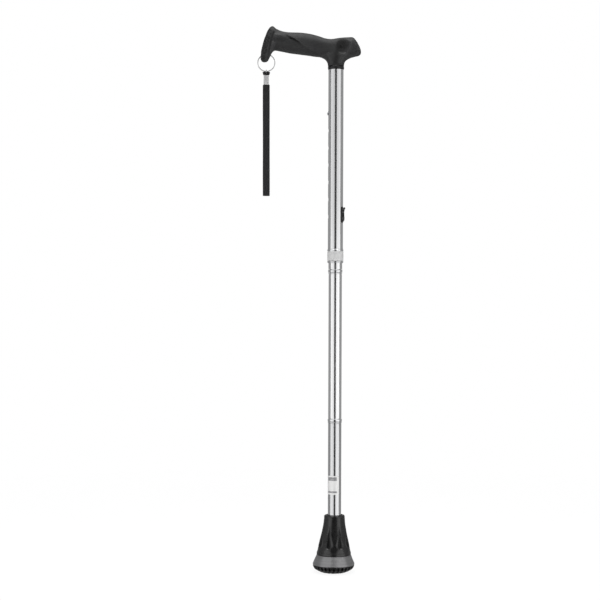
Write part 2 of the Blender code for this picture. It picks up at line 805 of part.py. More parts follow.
def make_foot(lower):
    boot = turned(
        "foot_boot",
        [
            (0.0138, BOOT_TOP_Z + 0.0006),
            (0.0148, BOOT_TOP_Z - 0.0008),
            (0.0153, 0.0770),
            (0.0165, 0.0680),
            (0.0197, 0.0520),
            (0.0230, 0.0370),
            (BOOT_BASE_R, BOOT_BASE_Z + 0.0005),
            (BOOT_BASE_R - 0.0005, BOOT_BASE_Z),
            (NECK_R, BOOT_BASE_Z),
            (NECK_R, TREAD_NECK_TOP_Z + GAP),
            (0.0, TREAD_NECK_TOP_Z + GAP),
            (0.0, BOOT_FLOOR_Z),
            (TUBE_R + GAP, BOOT_FLOOR_Z),
            (TUBE_R + GAP, BOOT_TOP_Z - 0.0022),
            (0.0118, BOOT_TOP_Z),
            (0.0122, BOOT_TOP_Z + 0.0006),
        ],
        BLACK_RUBBER,
        lower,
    )
    flutes = joined_mesh("flutes", [flute_mesh(i) for i in range(FLUTES)])
    combine(boot, cutter("flutes", flutes))
    turned(
        "foot_washer",
        ring_profile(TUBE_R - 0.0004, 0.0030, BOOT_FLOOR_Z + GAP, LOWER_TUBE_Z - GAP),
        STEEL,
        lower,
        steps=24,
    )
    turned(
        "foot_ring",
        [
            (BOOT_BASE_R - 0.0002, FOOT_RING_TOP_Z),
            (BOOT_BASE_R + 0.0003, FOOT_RING_TOP_Z - 0.0005),
            (FOOT_R, FOOT_RING_BASE_Z + 0.0012),
            (FOOT_R, FOOT_RING_BASE_Z),
            (NECK_R + GAP, FOOT_RING_BASE_Z),
            (NECK_R + GAP, FOOT_RING_TOP_Z),
        ],
        GREY_PLASTIC,
        lower,
    )
    top = FOOT_RING_BASE_Z - GAP
    turned(
        "foot_tread",
        [
            (0.0, TREAD_NECK_TOP_Z),
            (NECK_R, TREAD_NECK_TOP_Z),
            (NECK_R, top),
            (FOOT_R - 0.0004, top),
            (FOOT_R - 0.0001, top - 0.0010),
            (0.0299, 0.0086),
            (0.0283, 0.0066),
            (0.0268, 0.0054),
            (0.0262, 0.0068),
            (0.0250, 0.0066),
            (0.0246, 0.0042),
            (0.0216, 0.0024),
            (0.0209, 0.0036),
            (0.0197, 0.0036),
            (0.0191, 0.0010),
            (0.0182, 0.0003),
            (TREAD_FLAT_R, 0.0),
            (0.0, 0.0),
        ],
        BLACK_RUBBER,
        lower,
        closed=False,
    )


def make_strap(ring_pivot, strap_pivot):
    bpy.ops.mesh.primitive_torus_add(
        major_radius=RING_R, minor_radius=RING_WIRE_R, major_segments=40, minor_segments=6
    )
    torus = bpy.context.object
    torus.rotation_euler = (pi / 2, 0, 0)
    torus.location = (RING_X, 0, RING_Z)
    bpy.context.view_layer.update()
    add_part("split_ring", shade(evaluated_mesh(torus)), STEEL, ring_pivot)

    # The ring's wire lies in a groove along the tab's top, and passes through the eye on its middle
    tab = add_part(
        "strap_tab",
        box_mesh(
            "strap_tab",
            (RING_X - TAB_HALF_WIDTH, -TAB_HALF_DEPTH, TAB_Z),
            (RING_X + TAB_HALF_WIDTH, TAB_HALF_DEPTH, TAB_TOP_Z),
            bottom_scale=0.76,
        ),
        BLACK_PLASTIC,
        strap_pivot,
    )
    rounding = tab.modifiers.new("rounded", "BEVEL")
    rounding.width = 0.0009
    rounding.segments = 2
    eye = box_mesh(
        "tab_eye",
        (RING_X - TAB_EYE_HALF_WIDTH, -TAB_EYE_HALF_DEPTH, TAB_TOP_Z - 0.0022),
        (RING_X + TAB_EYE_HALF_WIDTH, TAB_EYE_HALF_DEPTH, TAB_EYE_TOP_Z),
    )
    combine(tab, cutter("tab_eye", eye), "UNION")
    bore_z = RING_Z - RING_R + 0.0001
    bore = rod_mesh("tab_bore", TAB_BORE_R, (RING_X - 0.008, 0, bore_z), (RING_X + 0.008, 0, bore_z))
    combine(tab, cutter("tab_bore", bore))

    ferrule = add_part(
        "strap_ferrule",
        box_mesh(
            "strap_ferrule",
            (RING_X - FERRULE_HALF_WIDTH, -FERRULE_HALF_DEPTH, FERRULE_Z),
            (RING_X + FERRULE_HALF_WIDTH, FERRULE_HALF_DEPTH, TAB_Z - GAP),
            bottom_scale=1.05,
        ),
        STEEL,
        strap_pivot,
    )
    rounding = ferrule.modifiers.new("rounded", "BEVEL")
    rounding.width = 0.0010
    rounding.segments = 2

    # The webbing leaves the ferrule, spreads a little, and turns back in a loop at its bottom
    spread = STRAP_SPREAD
    side = [(0.0012, STRAP_TOP_Z), (0.0015, STRAP_TOP_Z - 0.010), (spread, STRAP_TOP_Z - 0.035)]
    side += [(spread, STRAP_TOP_Z - 0.035 - 0.025 * step) for step in range(1, 5)]
    bend = STRAP_Z + STRAP_THICKNESS / 2 + spread
    loop = [(spread * cos(pi * i / 10), bend - spread * sin(pi * i / 10)) for i in range(11)]
    path = side + loop + [(-y, z) for y, z in reversed(side)]
    strip(
        "wrist_strap",
        [(RING_X, y, z) for y, z in path],
        STRAP_WIDTH,
        STRAP_THICKNESS,
        WEBBING,
        strap_pivot,
    )


clear_scene()
parts = collection("single_point_cane")
cutters = collection("cutters")

handle_section = section_empty("handle_section", (0, 0, 0))
height_section = section_empty("height_section", (0, 0, BUTTON_Z), handle_section)
middle_section = section_empty("middle_section", (0, FOLD_OFFSET, UPPER_FOLD_Z), height_section)
lower_section = section_empty("lower_section", (0, -FOLD_OFFSET, LOWER_FOLD_Z), middle_section)
latch_pivot = section_empty("latch_pivot", (LATCH_PIVOT_X, 0, LATCH_Z), handle_section)
collar_axis = section_empty("collar_axis", (0, 0, COLLAR_Z), handle_section)
button_slide = section_empty("button_slide", (BUTTON_TIP_X, 0, BUTTON_Z), height_section)
ring_hanger = section_empty("ring_hanger", (RING_X, 0, RING_Z + RING_R), handle_section)
strap_hanger = section_empty("strap_hanger", (RING_X, 0, RING_Z - RING_R), ring_hanger)

make_handle(handle_section)
make_outer_tube(handle_section)
make_latch(handle_section, latch_pivot)
make_collar(handle_section, collar_axis)
make_height_tube(height_section, button_slide)
make_fold_joint(height_section, middle_section, UPPER_FOLD_Z, "upper")
make_fold_joint(middle_section, lower_section, LOWER_FOLD_Z, "lower")
tube_start = FLANGE_HEIGHT + 2 * GAP
joint_tube(
    "middle_tube",
    LOWER_FOLD_Z + BEAD_HEIGHT + 2 * GAP,
    UPPER_FOLD_Z - tube_start,
    middle_section,
)
joint_tube("lower_tube", LOWER_TUBE_Z, LOWER_FOLD_Z - tube_start, lower_section)
make_cord(height_section, middle_section, lower_section)
make_foot(lower_section)
make_strap(ring_hanger, strap_hanger)
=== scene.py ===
import json
from math import asin, ceil, copysign, cos, exp, hypot, pi, radians, sin, sqrt

import bmesh
import bpy
from mathutils import Matrix, Vector, noise


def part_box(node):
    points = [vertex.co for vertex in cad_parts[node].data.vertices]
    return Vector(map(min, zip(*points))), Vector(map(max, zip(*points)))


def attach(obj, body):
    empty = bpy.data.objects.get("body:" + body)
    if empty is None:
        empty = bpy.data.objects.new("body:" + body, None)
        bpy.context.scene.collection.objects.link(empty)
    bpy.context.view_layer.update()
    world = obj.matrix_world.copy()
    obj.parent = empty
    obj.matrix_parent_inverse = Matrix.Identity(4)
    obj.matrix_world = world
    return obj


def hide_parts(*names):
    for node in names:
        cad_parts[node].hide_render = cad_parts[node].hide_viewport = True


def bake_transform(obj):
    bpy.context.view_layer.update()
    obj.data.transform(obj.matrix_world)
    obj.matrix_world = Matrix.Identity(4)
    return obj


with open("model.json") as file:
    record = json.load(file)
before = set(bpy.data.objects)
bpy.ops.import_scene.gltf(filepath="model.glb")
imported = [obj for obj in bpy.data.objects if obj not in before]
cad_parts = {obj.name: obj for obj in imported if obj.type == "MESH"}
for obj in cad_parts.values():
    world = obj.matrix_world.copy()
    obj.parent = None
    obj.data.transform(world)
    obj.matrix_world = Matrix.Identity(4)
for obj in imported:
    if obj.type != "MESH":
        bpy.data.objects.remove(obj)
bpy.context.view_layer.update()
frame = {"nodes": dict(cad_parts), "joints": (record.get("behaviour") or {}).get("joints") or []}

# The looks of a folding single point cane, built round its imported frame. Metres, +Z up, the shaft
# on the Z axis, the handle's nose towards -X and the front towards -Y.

# Sides of a turned piece, and the angle in degrees from which an edge is sharp
ROUND = 96
SHARP = 32


# ---------------------------------------------------------------- places read from the frame


def span(node, axis):
    low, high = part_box(node)
    return low[axis], high[axis]


def reach(node):
    """A turned node's outer radius."""
    low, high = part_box(node)
    return (high.y - low.y) / 2


def joint_anchor(name):
    return next(Vector(j["pos_m"]) for j in frame["joints"] if j["name"] == name)


TUBE_R = reach("middle_tube")
TUBE_BORE_R = 0.0085
TUBE_BELL_R = 0.0101
SLEEVE_R = 0.0082
OUTER_TUBE_R = reach("outer_tube")
OUTER_TUBE_BORE_R = 0.01005
RING_LOW, RING_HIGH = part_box("split_ring")
RING_X = (RING_LOW.x + RING_HIGH.x) / 2
BUTTON_Z = sum(span("snap_button", 2)) / 2
# Each fold joint's name, the sections above and below it, and its height
FOLDS = (
    ("upper", "height_section", "middle_section", joint_anchor("upper_fold").z),
    ("lower", "middle_section", "lower_section", joint_anchor("lower_fold").z),
)


# ---------------------------------------------------------------- mesh helpers


def placed(name, data):
    obj = bpy.data.objects.new(name, data)
    bpy.context.scene.collection.objects.link(obj)
    return obj


def smooth(mesh, angle=SHARP):
    mesh.shade_smooth()
    mesh.set_sharp_from_angle(angle=radians(angle))
    return mesh


def cleaned(name, bm, angle=SHARP):
    bmesh.ops.remove_doubles(bm, verts=bm.verts, dist=1e-6)
    bmesh.ops.recalc_face_normals(bm, faces=bm.faces)
    mesh = bpy.data.meshes.new(name)
    bm.to_mesh(mesh)
    bm.free()
    return smooth(mesh, angle)


def with_values(mesh, name, values):
    """A number at each point of a mesh, which its material reads."""
    mesh.attributes.new(name, "FLOAT", "POINT").data.foreach_set("value", values)
    return mesh


def laid(bm, rings, around=True, along=False):
    """Vertices on rings of points, and faces between them. around closes each ring, along joins the
    last to the first."""
    rows = [[bm.verts.new(p) for p in ring] for ring in rings]
    count = len(rows[0])
    for row, following in list(zip(rows, rows[1:])) + ([(rows[-1], rows[0])] if along else []):
        for i in range(count if around else count - 1):
            j = (i + 1) % count
            bm.faces.new((row[i], row[j], following[j], following[i]))
    return rows


def skin(name, rings, along=False, caps=False, angle=SHARP):
    """A surface through closed rings of points."""
    bm = bmesh.new()
    rows = laid(bm, rings, along=along)
    if caps:
        bm.faces.new(rows[0])
        bm.faces.new(rows[-1])
    return cleaned(name, bm, angle)


def rounded(points, radius, closed=True, steps=3):
    """An outline with its corners rounded. No arc takes more than its share of a side."""
    out = []
    count = len(points)
    for i in range(count):
        here = Vector(points[i])
        if not closed and i in (0, count - 1):
            out.append(tuple(here))
            continue
        before, after = Vector(points[i - 1]) - here, Vector(points[(i + 1) % count]) - here
        start = here + before.normalized() * min(radius, before.length * 0.45)
        end = here + after.normalized() * min(radius, after.length * 0.45)
        for step in range(steps + 1):
            t = step / steps
            out.append(tuple(start * (1 - t) ** 2 + here * 2 * t * (1 - t) + end * t * t))
    return out


def circle(count):
    return [2 * pi * i / count for i in range(count)]


def turned(name, profile, closed=True, steps=ROUND, shape=None, angle=SHARP):
    """A profile of (radius, height) turned about Z. shape(radius, height, angle) gives a point's
    new radius and height."""
    rings = []
    for r, z in profile:
        ring = []
        for a in circle(steps):
            radius, height = shape(r, z, a) if shape else (r, z)
            ring.append((radius * cos(a), radius * sin(a), height))
        rings.append(ring)
    return skin(name, rings, along=closed, angle=angle)


def rod(name, radius, start, end, steps=24, end_radius=None):
    start, end = Vector(start), Vector(end)
    bm = bmesh.new()
    bmesh.ops.create_cone(
        bm,
        cap_ends=True,
        segments=steps,
        radius1=radius,
        radius2=radius if end_radius is None else end_radius,
        depth=(end - start).length,
    )
    turn = (end - start).to_track_quat("Z", "Y").to_matrix().to_4x4()
    bmesh.ops.transform(bm, matrix=Matrix.Translation((start + end) / 2) @ turn, verts=bm.verts)
    return cleaned(name, bm)


def extruded(name, outline, half, bevel=0.0):
    """An outline of (x, z) points, thickened to half on each side of y = 0, its rims rounded when
    bevel is given.
    """
    bm = bmesh.new()
    for side in laid(bm, [[(x, y, z) for x, z in outline] for y in (-half, half)]):
        bm.faces.new(side)
    bmesh.ops.recalc_face_normals(bm, faces=bm.faces)
    if bevel:
        rims = [e for e in bm.edges if abs(e.verts[0].co.y - e.verts[1].co.y) < 1e-9]
        bmesh.ops.bevel(
            bm, geom=rims, offset=bevel, segments=3, affect="EDGES", clamp_overlap=True
        )
    return cleaned(name, bm)


def carved(name, mesh, tools, operation="DIFFERENCE"):
    """mesh with each tool mesh taken from it, or joined to it, and all helpers removed again."""
    obj = placed(name, mesh)
    helpers = [placed(name + "_tool", tool) for tool in tools]
    for helper in helpers:
        boolean = obj.modifiers.new("cut", "BOOLEAN")
        boolean.operation = operation
        boolean.solver = "EXACT"
        boolean.object = helper
    return applied(obj, helpers)


def applied(obj, helpers=()):
    """The mesh that an object's modifiers make. The object and its helpers are removed."""
    bpy.context.view_layer.update()
    graph = bpy.context.evaluated_depsgraph_get()
    mesh = bpy.data.meshes.new_from_object(obj.evaluated_get(graph))
    for used in (obj, *helpers):
        bpy.data.objects.remove(used, do_unlink=True)
    return smooth(mesh)


def true_round(mesh, radius):
    """Gives a drilled tube's outside the normals of a true cylinder, so that it shades evenly."""
    normals = []
    for polygon in mesh.polygons:
        for index in polygon.vertices:
            co = mesh.vertices[index].co
            outward = Vector((co.x, co.y, 0)).normalized()
            on_side = abs(hypot(co.x, co.y) - radius) < 2e-5 and polygon.normal.dot(outward) > 0.9
            normals.append(outward if on_side else mesh.corner_normals[len(normals)].vector)
    mesh.normals_split_custom_set([n[:] for n in normals])
    return mesh


def joined(name, meshes, angle=SHARP):
    bm = bmesh.new()
    for mesh in meshes:
        bm.from_mesh(mesh)
    return cleaned(name, bm, angle)


def piece(name, mesh, material, slot, body, *nodes):
    obj = placed(name, mesh)
    mesh.materials.clear()
    mesh.materials.append(material)
    if nodes:
        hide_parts(*nodes)
    if body:
        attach(obj, body)
    return obj


def step_between(low, high, x):
    t = min(1.0, max(0.0, (x - low) / (high - low)))
    return t * t * (3 - 2 * t)


# ---------------------------------------------------------------- materials

RANGE = ("From Min", "From Max", "To Min", "To Max")


class Paint:
    """A material's node tree, and short names for the nodes it is built from."""

    def __init__(self, name, **shader):
        self.material = bpy.data.materials.new(name)
        self.material.use_nodes = True
        self.tree = self.material.node_tree
        self.shader = self.tree.nodes["Principled BSDF"]
        for key, value in shader.items():
            self.shader.inputs[key.replace("_", " ")].default_value = value
        self.place = self.node("ShaderNodeTexCoord").outputs["Object"]
        self.height = None

    def node(self, kind, **settings):
        made = self.tree.nodes.new(kind)
        for key, value in settings.items():
            setattr(made, key, value)
        return made

    def link(self, source, target):
        self.tree.links.new(source, target)

    def feed(self, socket, value):
        if isinstance(value, bpy.types.NodeSocket):
            self.link(value, socket)
        else:
            socket.default_value = value

    def stretched(self, x, y, z):
        mapping = self.node("ShaderNodeMapping")
        mapping.inputs["Scale"].default_value = (x, y, z)
        self.link(self.place, mapping.inputs["Vector"])
        return mapping.outputs["Vector"]

    def noise(self, scale, detail=3.0, rough=0.55, vector=None):
        made = self.node("ShaderNodeTexNoise")
        made.inputs["Scale"].default_value = scale
        made.inputs["Detail"].default_value = detail
        made.inputs["Roughness"].default_value = rough
        self.link(vector or self.place, made.inputs["Vector"])
        return made.outputs["Fac"]

    def ramp(self, value, low, high, start=0.0, end=1.0):
        made = self.node("ShaderNodeMapRange")
        self.feed(made.inputs["Value"], value)
        for key, number in zip(RANGE, (low, high, start, end)):
            made.inputs[key].default_value = number
        return made.outputs["Result"]

    def math(self, operation, a, b=0.0):
        made = self.node("ShaderNodeMath", operation=operation)
        self.feed(made.inputs[0], a)
        self.feed(made.inputs[1], b)
        return made.outputs[0]

    def mix(self, factor, a, b, blend="MIX"):
        made = self.node("ShaderNodeMix", data_type="RGBA", blend_type=blend)
        self.feed(made.inputs["Factor"], factor)
        for key, colour in (("A", a), ("B", b)):
            linked = isinstance(colour, bpy.types.NodeSocket)
            self.feed(made.inputs[key], colour if linked else (*colour, 1.0))
        return made.outputs["Result"]

    def clouds(self, scale, detail, low, high, dark, light):
        return self.mix(self.ramp(self.noise(scale, detail), low, high), dark, light)

    def attribute(self, name):
        return self.node("ShaderNodeAttribute", attribute_name=name).outputs["Fac"]

    def colour(self, value):
        self.link(value, self.shader.inputs["Base Color"])

    def roughness(self, value):
        self.link(value, self.shader.inputs["Roughness"])

    def uneven_gloss(self, scale, detail, low, high):
        self.roughness(self.ramp(self.noise(scale, detail), 0.3, 0.7, low, high))

    def bump(self, height, distance, strength=1.0):
        made = self.node("ShaderNodeBump")
        made.inputs["Strength"].default_value = strength
        made.inputs["Distance"].default_value = distance
        self.link(height, made.inputs["Height"])
        if self.height:
            self.link(self.height, made.inputs["Normal"])
        self.height = made.outputs["Normal"]
        self.link(self.height, self.shader.inputs["Normal"])


def soft_touch():
    """Soft-touch rubber over plastic: a fine matt grain, a coarser pebble on its ends, painted
    shade and duller gloss in its creases, painted highlights and higher gloss on its ridges."""
    p = Paint("soft_touch", IOR=1.48)
    shade = p.attribute("shade")
    tone = p.clouds(38, 4, 0.35, 0.68, (0.023, 0.023, 0.024), (0.034, 0.035, 0.035))
    grime = p.ramp(p.noise(300, 5, 0.7), 0.35, 0.65, 0.85, 1.15)
    # The shade attribute paints shade into the handle's creases and hollow and highlights onto its
    # ridges and edges
    lit = p.math("MULTIPLY", grime, p.ramp(shade, 0.0, 1.0, 0.25, 1.75))
    sharp_edges = p.ramp(p.node("ShaderNodeNewGeometry").outputs["Pointiness"], 0.51, 0.56)
    rubbed = p.mix(p.math("MULTIPLY", sharp_edges, 0.5), (0.0, 0.0, 0.0), (0.05, 0.05, 0.05))
    p.colour(p.mix(1.0, p.mix(1.0, tone, lit, "MULTIPLY"), rubbed, "ADD"))
    gloss = p.ramp(p.noise(90, 4), 0.3, 0.7, 0.52, 0.64)
    p.roughness(p.math("SUBTRACT", gloss, p.ramp(shade, 0.0, 1.0, -0.08, 0.10)))
    cells = p.node("ShaderNodeTexVoronoi", feature="F1")
    cells.inputs["Scale"].default_value = 620
    p.link(p.place, cells.inputs["Vector"])
    pebble = p.ramp(cells.outputs["Distance"], 0.0, 0.6, 1.0, 0.0)
    p.bump(p.math("MULTIPLY", pebble, p.attribute("pebble")), 0.00045, 1.0)
    p.bump(p.noise(2600, 2), 0.00006, 0.55)
    return p.material


def rubber():
    p = Paint("black_rubber_moulding", IOR=1.5)
    dust = p.ramp(p.noise(70, 5, 0.65), 0.42, 0.75)
    p.colour(p.mix(dust, (0.0026, 0.0026, 0.0029), (0.007, 0.007, 0.0067)))
    p.uneven_gloss(260, 4, 0.25, 0.33)
    # The flutes, whose walls face each other, shine less
    shine = p.ramp(p.attribute("hollow"), 0.0, 1.0, 0.80, 0.25)
    p.link(shine, p.shader.inputs["Specular IOR Level"])
    p.bump(p.noise(900, 4), 0.00008, 0.5)
    p.bump(p.noise(3600, 2), 0.00004, 0.5)
    return p.material


def drawn_metal(name, colour, low, high, streaks=0.00001):
    """Drawn and anodised metal: fine lines along Z and faint cloudy changes."""
    p = Paint(name, Metallic=1.0)
    tone = p.ramp(p.noise(1.0, 4, 0.6, p.stretched(260, 260, 7)), 0.3, 0.7)
    p.colour(p.mix(tone, [c * 0.94 for c in colour], colour))
    lines = p.noise(1.0, 5, 0.7, p.stretched(2600, 2600, 24))
    p.roughness(p.ramp(lines, 0.25, 0.75, low, high))
    p.bump(lines, streaks, 0.35)
    return p.material


def plain(name, dark, light, clouds, gloss, grain, **shader):
    """One even material. clouds is (scale, detail) of its tone, gloss (scale, low, high) of its
    roughness, and grain (scale, detail, distance, strength) of its surface."""
    p = Paint(name, **shader)
    p.colour(p.clouds(*clouds, 0.35, 0.7, dark, light))
    p.uneven_gloss(gloss[0], 3, *gloss[1:])
    p.bump(p.noise(*grain[:2]), *grain[2:])
    return p.material


def blasted_metal(name, colour, low, high, metallic):
    dark = [c * 0.88 for c in colour]
    grain = (4200, 3, 0.00005, 0.6)
    return plain(name, dark, colour, (700, 4), (900, low, high), grain, Metallic=metallic)


def satin_ring():
    """A satin grey moulding with a metallic pigment, brushed round Z."""
    p = Paint("satin_grey_ring", Metallic=0.8)
    lines = p.noise(1.0, 2, 0.5, p.stretched(12, 12, 900))
    p.colour(p.mix(p.ramp(lines, 0.3, 0.7), (0.27, 0.27, 0.275), (0.37, 0.37, 0.375)))
    p.uneven_gloss(300, 3, 0.30, 0.38)
    p.bump(lines, 0.000006, 0.3)
    return p.material


def braid():
    """A braided sleeve: two crossing sets of slanted strands round Z."""
    p = Paint("braided_elastic", Sheen_Weight=0.3)
    split = p.node("ShaderNodeSeparateXYZ")
    p.link(p.place, split.inputs["Vector"])
    turn = p.math("MULTIPLY", p.math("ARCTAN2", split.outputs["Y"], split.outputs["X"]), 6.0)
    strands = []
    for lean in (3300.0, -3300.0):
        climb = p.math("MULTIPLY", split.outputs["Z"], lean)
        strands.append(p.math("SINE", p.math("ADD", turn, climb)))
    weave = p.math("MAXIMUM", strands[0], strands[1])
    p.colour(p.mix(p.ramp(weave, -0.2, 1.0), (0.50, 0.49, 0.46), (0.82, 0.81, 0.77)))
    p.uneven_gloss(900, 3, 0.75, 0.92)
    p.bump(weave, 0.00020, 0.8)
    return p.material


def webbing():
    """Woven nylon tape: chevron ribs along it, from across (-1 to 1) and along (metres)."""
    p = Paint("woven_webbing", Sheen_Weight=0.15, Sheen_Roughness=0.5)
    across, along = p.attribute("across"), p.attribute("along")
    column = p.math("FRACT", p.math("MULTIPLY", p.math("ADD", across, 1.0), 2.0))
    slope = p.math("ABSOLUTE", p.math("SUBTRACT", column, 0.5))
    phase = p.math("ADD", p.math("MULTIPLY", along, 5200.0), p.math("MULTIPLY", slope, 18.0))
    rib = p.ramp(p.math("SINE", phase), -1.0, 1.0)
    yarn = p.ramp(p.math("SINE", p.math("MULTIPLY", across, 62.0)), -1.0, 1.0)
    weave = p.math("MULTIPLY", rib, p.ramp(yarn, 0.0, 1.0, 0.55, 1.0))
    fuzz = p.noise(1500, 4)
    p.colour(p.mix(p.math("MULTIPLY", weave, fuzz), (0.008, 0.008, 0.009), (0.040, 0.040, 0.042)))
    p.roughness(p.ramp(fuzz, 0.3, 0.7, 0.68, 0.90))
    p.bump(weave, 0.00022, 0.9)
    p.bump(p.noise(5200, 2), 0.00005, 0.5)
    return p.material


def sticker():
    """A blank glossy label, pale, with two plain grey bands across it."""
    p = Paint("blank_label", Coat_Weight=1.0, Coat_Roughness=0.10, Coat_IOR=1.8)
    paper = p.clouds(500, 4, 0.3, 0.7, (0.88, 0.88, 0.875), (0.95, 0.95, 0.945))
    bands = p.clouds(900, 3, 0.4, 0.6, (0.16, 0.16, 0.17), (0.46, 0.46, 0.47))
    p.colour(p.mix(p.attribute("band"), paper, bands))
    p.uneven_gloss(800, 3, 0.30, 0.42)
    p.bump(p.noise(2400, 2), 0.00001, 0.4)
    return p.material


def floor_paint():
    p = Paint("pale_floor", Emission_Color=(1.0, 1.0, 1.0, 1.0), Emission_Strength=FLOOR_GLOW)
    p.colour(p.clouds(3, 3, 0.3, 0.7, (0.86, 0.86, 0.86), (0.90, 0.90, 0.90)))
    p.uneven_gloss(40, 3, 0.55, 0.7)
    # It fades into the pale surroundings with distance from the middle, and is thin enough to look
    # through, since a section that slides out passes below it
    distance = p.node("ShaderNodeVectorMath", operation="LENGTH")
    p.link(p.place, distance.inputs[0])
    fade = p.ramp(distance.outputs["Value"], 0.35, 1.3, 1.0, 0.0)
    seen = p.node("ShaderNodeLightPath").outputs["Is Camera Ray"]
    thin = p.ramp(seen, 0.0, 1.0, 1.0, FLOOR_SEEN)
    p.link(p.math("MULTIPLY", fade, thin), p.shader.inputs["Alpha"])
    return p.material


# ---------------------------------------------------------------- camera, light and floor

CAMERA_PLACE = (-0.0519, -2.070, 0.4003)
CAMERA_ROLL = -0.20
CAMERA_LENS = 84.2
FLOOR_GLOW = 0.52
FLOOR_SEEN = 0.20
BACKDROP = 1.0
SURROUNDINGS = 0.30
DARK_SIDE = 0.04
STUDIO_TURN = -91.4
SOFTBOX_TURN = 47.0
SOFTBOX_DISTANCE = 1.5
SOFTBOX_SIZE = (1.80, 2.4)
SOFTBOX_GLOW = 0.66
LEFT_SHARE = 0.94
RIGHT_SHARE = 1.08
LOW_SOFTBOX_Z = -0.18
LOW_SOFTBOX_SIZE = (1.80, 1.5)
LOW_SOFTBOX_GLOW = 0.24
TOP_PLACE = (0, -0.2, 2.1)
TOP_SIZE = (1.6, 1.6)
TOP_GLOW = 2.2


def add_camera():
    camera = placed("camera", bpy.data.cameras.new("camera"))
    camera.data.sensor_width = 36.0
    camera.data.lens = CAMERA_LENS
    camera.location = CAMERA_PLACE
    camera.rotation_euler = (pi / 2, radians(CAMERA_ROLL), 0)
    bpy.context.scene.camera = camera


def add_softbox(name, place, target, size, glow):
    """An even panel that faces target. glow is its brightness as a surface."""
    light = bpy.data.lights.new(name, "AREA")
    light.shape = "RECTANGLE"
    light.size, light.size_y = size
    light.energy = glow * pi * size[0] * size[1]
    obj = placed(name, light)
    obj.location = place
    obj.rotation_euler = (Vector(target) - Vector(place)).to_track_quat("-Z", "Y").to_euler()
    obj.visible_camera = False


def add_studio():
    middle = Vector((0, 0, 0.40))
    for name, side, share in (("left_softbox", -1, LEFT_SHARE), ("right_softbox", 1, RIGHT_SHARE)):
        turn = radians(STUDIO_TURN + side * SOFTBOX_TURN)
        way = Vector((cos(turn), sin(turn), 0))
        place = middle + way * SOFTBOX_DISTANCE
        add_softbox(name, place, middle, SOFTBOX_SIZE, SOFTBOX_GLOW * share)
        low = Vector((0, 0, LOW_SOFTBOX_Z))
        place = low + way * (SOFTBOX_DISTANCE + 0.02)
        add_softbox("low_" + name, place, low, LOW_SOFTBOX_SIZE, LOW_SOFTBOX_GLOW * share)
    add_softbox("top_softbox", TOP_PLACE, (0, 0, 0), TOP_SIZE, TOP_GLOW)

    world = bpy.data.worlds.new("studio")
    bpy.context.scene.world = world
    world.use_nodes = True
    tree = world.node_tree
    seen = tree.nodes["Background"]
    seen.inputs["Color"].default_value = (1, 1, 1, 1)
    seen.inputs["Strength"].default_value = BACKDROP
    around = tree.nodes.new("ShaderNodeBackground")
    around.inputs["Color"].default_value = (1, 1, 1, 1)
    # The studio is dark behind the camera, and grey elsewhere
    way = tree.nodes.new("ShaderNodeSeparateXYZ")
    tree.links.new(tree.nodes.new("ShaderNodeTexCoord").outputs["Generated"], way.inputs[0])
    level = tree.nodes.new("ShaderNodeMapRange")
    level.interpolation_type = "SMOOTHSTEP"
    for key, number in zip(RANGE, (-0.97, 0.10, DARK_SIDE, SURROUNDINGS)):
        level.inputs[key].default_value = number
    tree.links.new(way.outputs["Y"], level.inputs["Value"])
    tree.links.new(level.outputs["Result"], around.inputs["Strength"])
    path = tree.nodes.new("ShaderNodeLightPath")
    choose = tree.nodes.new("ShaderNodeMixShader")
    tree.links.new(path.outputs["Is Camera Ray"], choose.inputs["Fac"])
    tree.links.new(around.outputs[0], choose.inputs[1])
    tree.links.new(seen.outputs[0], choose.inputs[2])
    tree.links.new(choose.outputs[0], tree.nodes["World Output"].inputs["Surface"])

    bm = bmesh.new()
    rings = [[(r * cos(a), r * sin(a), -0.0002) for a in circle(64)] for r in (0.02, 0.4, 1.35)]
    bm.faces.new(laid(bm, rings)[0])
    ground = placed("floor", cleaned("floor", bm))
    ground.data.materials.append(floor_paint())
    ground.visible_glossy = False
    bpy.context.scene.view_settings.view_transform = "Standard"


# ---------------------------------------------------------------- wrist strap

STRAP_TOP_Z = 0.7172
STRAP_Z = 0.5530
STRAP_WIDTH = 0.0101
STRAP_THICKNESS = 0.0014
STRAP_SPREAD = 0.0023
STRAP_LEAN = 0.0036
EDGE_RIPPLE = 0.00010
RIPPLE_PITCH = 0.0024


def strap_route():
    """The webbing's centreline: down from the ferrule, round the loop's bottom and back up."""
    top, spread = STRAP_TOP_Z, STRAP_SPREAD
    side = [(0.0012, top), (0.0015, top - 0.010), (spread, top - 0.035)]
    side += [(spread, top - 0.035 - 0.025 * step) for step in range(1, 5)]
    bend = STRAP_Z + STRAP_THICKNESS / 2 + spread
    loop = [(spread * cos(pi * i / 10), bend - spread * sin(pi * i / 10)) for i in range(11)]
    return side + loop + [(-y, z) for y, z in reversed(side)]


def dense(points, longest):
    """The same open line with points no further apart than longest."""
    out = [Vector(points[0])]
    for a, b in zip(points, points[1:]):
        a, b = Vector(a), Vector(b)
        parts = max(1, ceil((b - a).length / longest))
        out += [a.lerp(b, i / parts) for i in range(1, parts + 1)]
    return out


def relaxed(points, rounds):
    """Softens the corners of an open line, whose ends stay."""
    for _ in range(rounds):
        inner = [(a + b * 2 + c) / 4 for a, b, c in zip(points, points[1:], points[2:])]
        points = [points[0], *inner, points[-1]]
    return points


def squarer(value, power):
    """A sine or cosine, changed so that an oval gets squarer corners."""
    return copysign(abs(value) ** (2 / power), value)


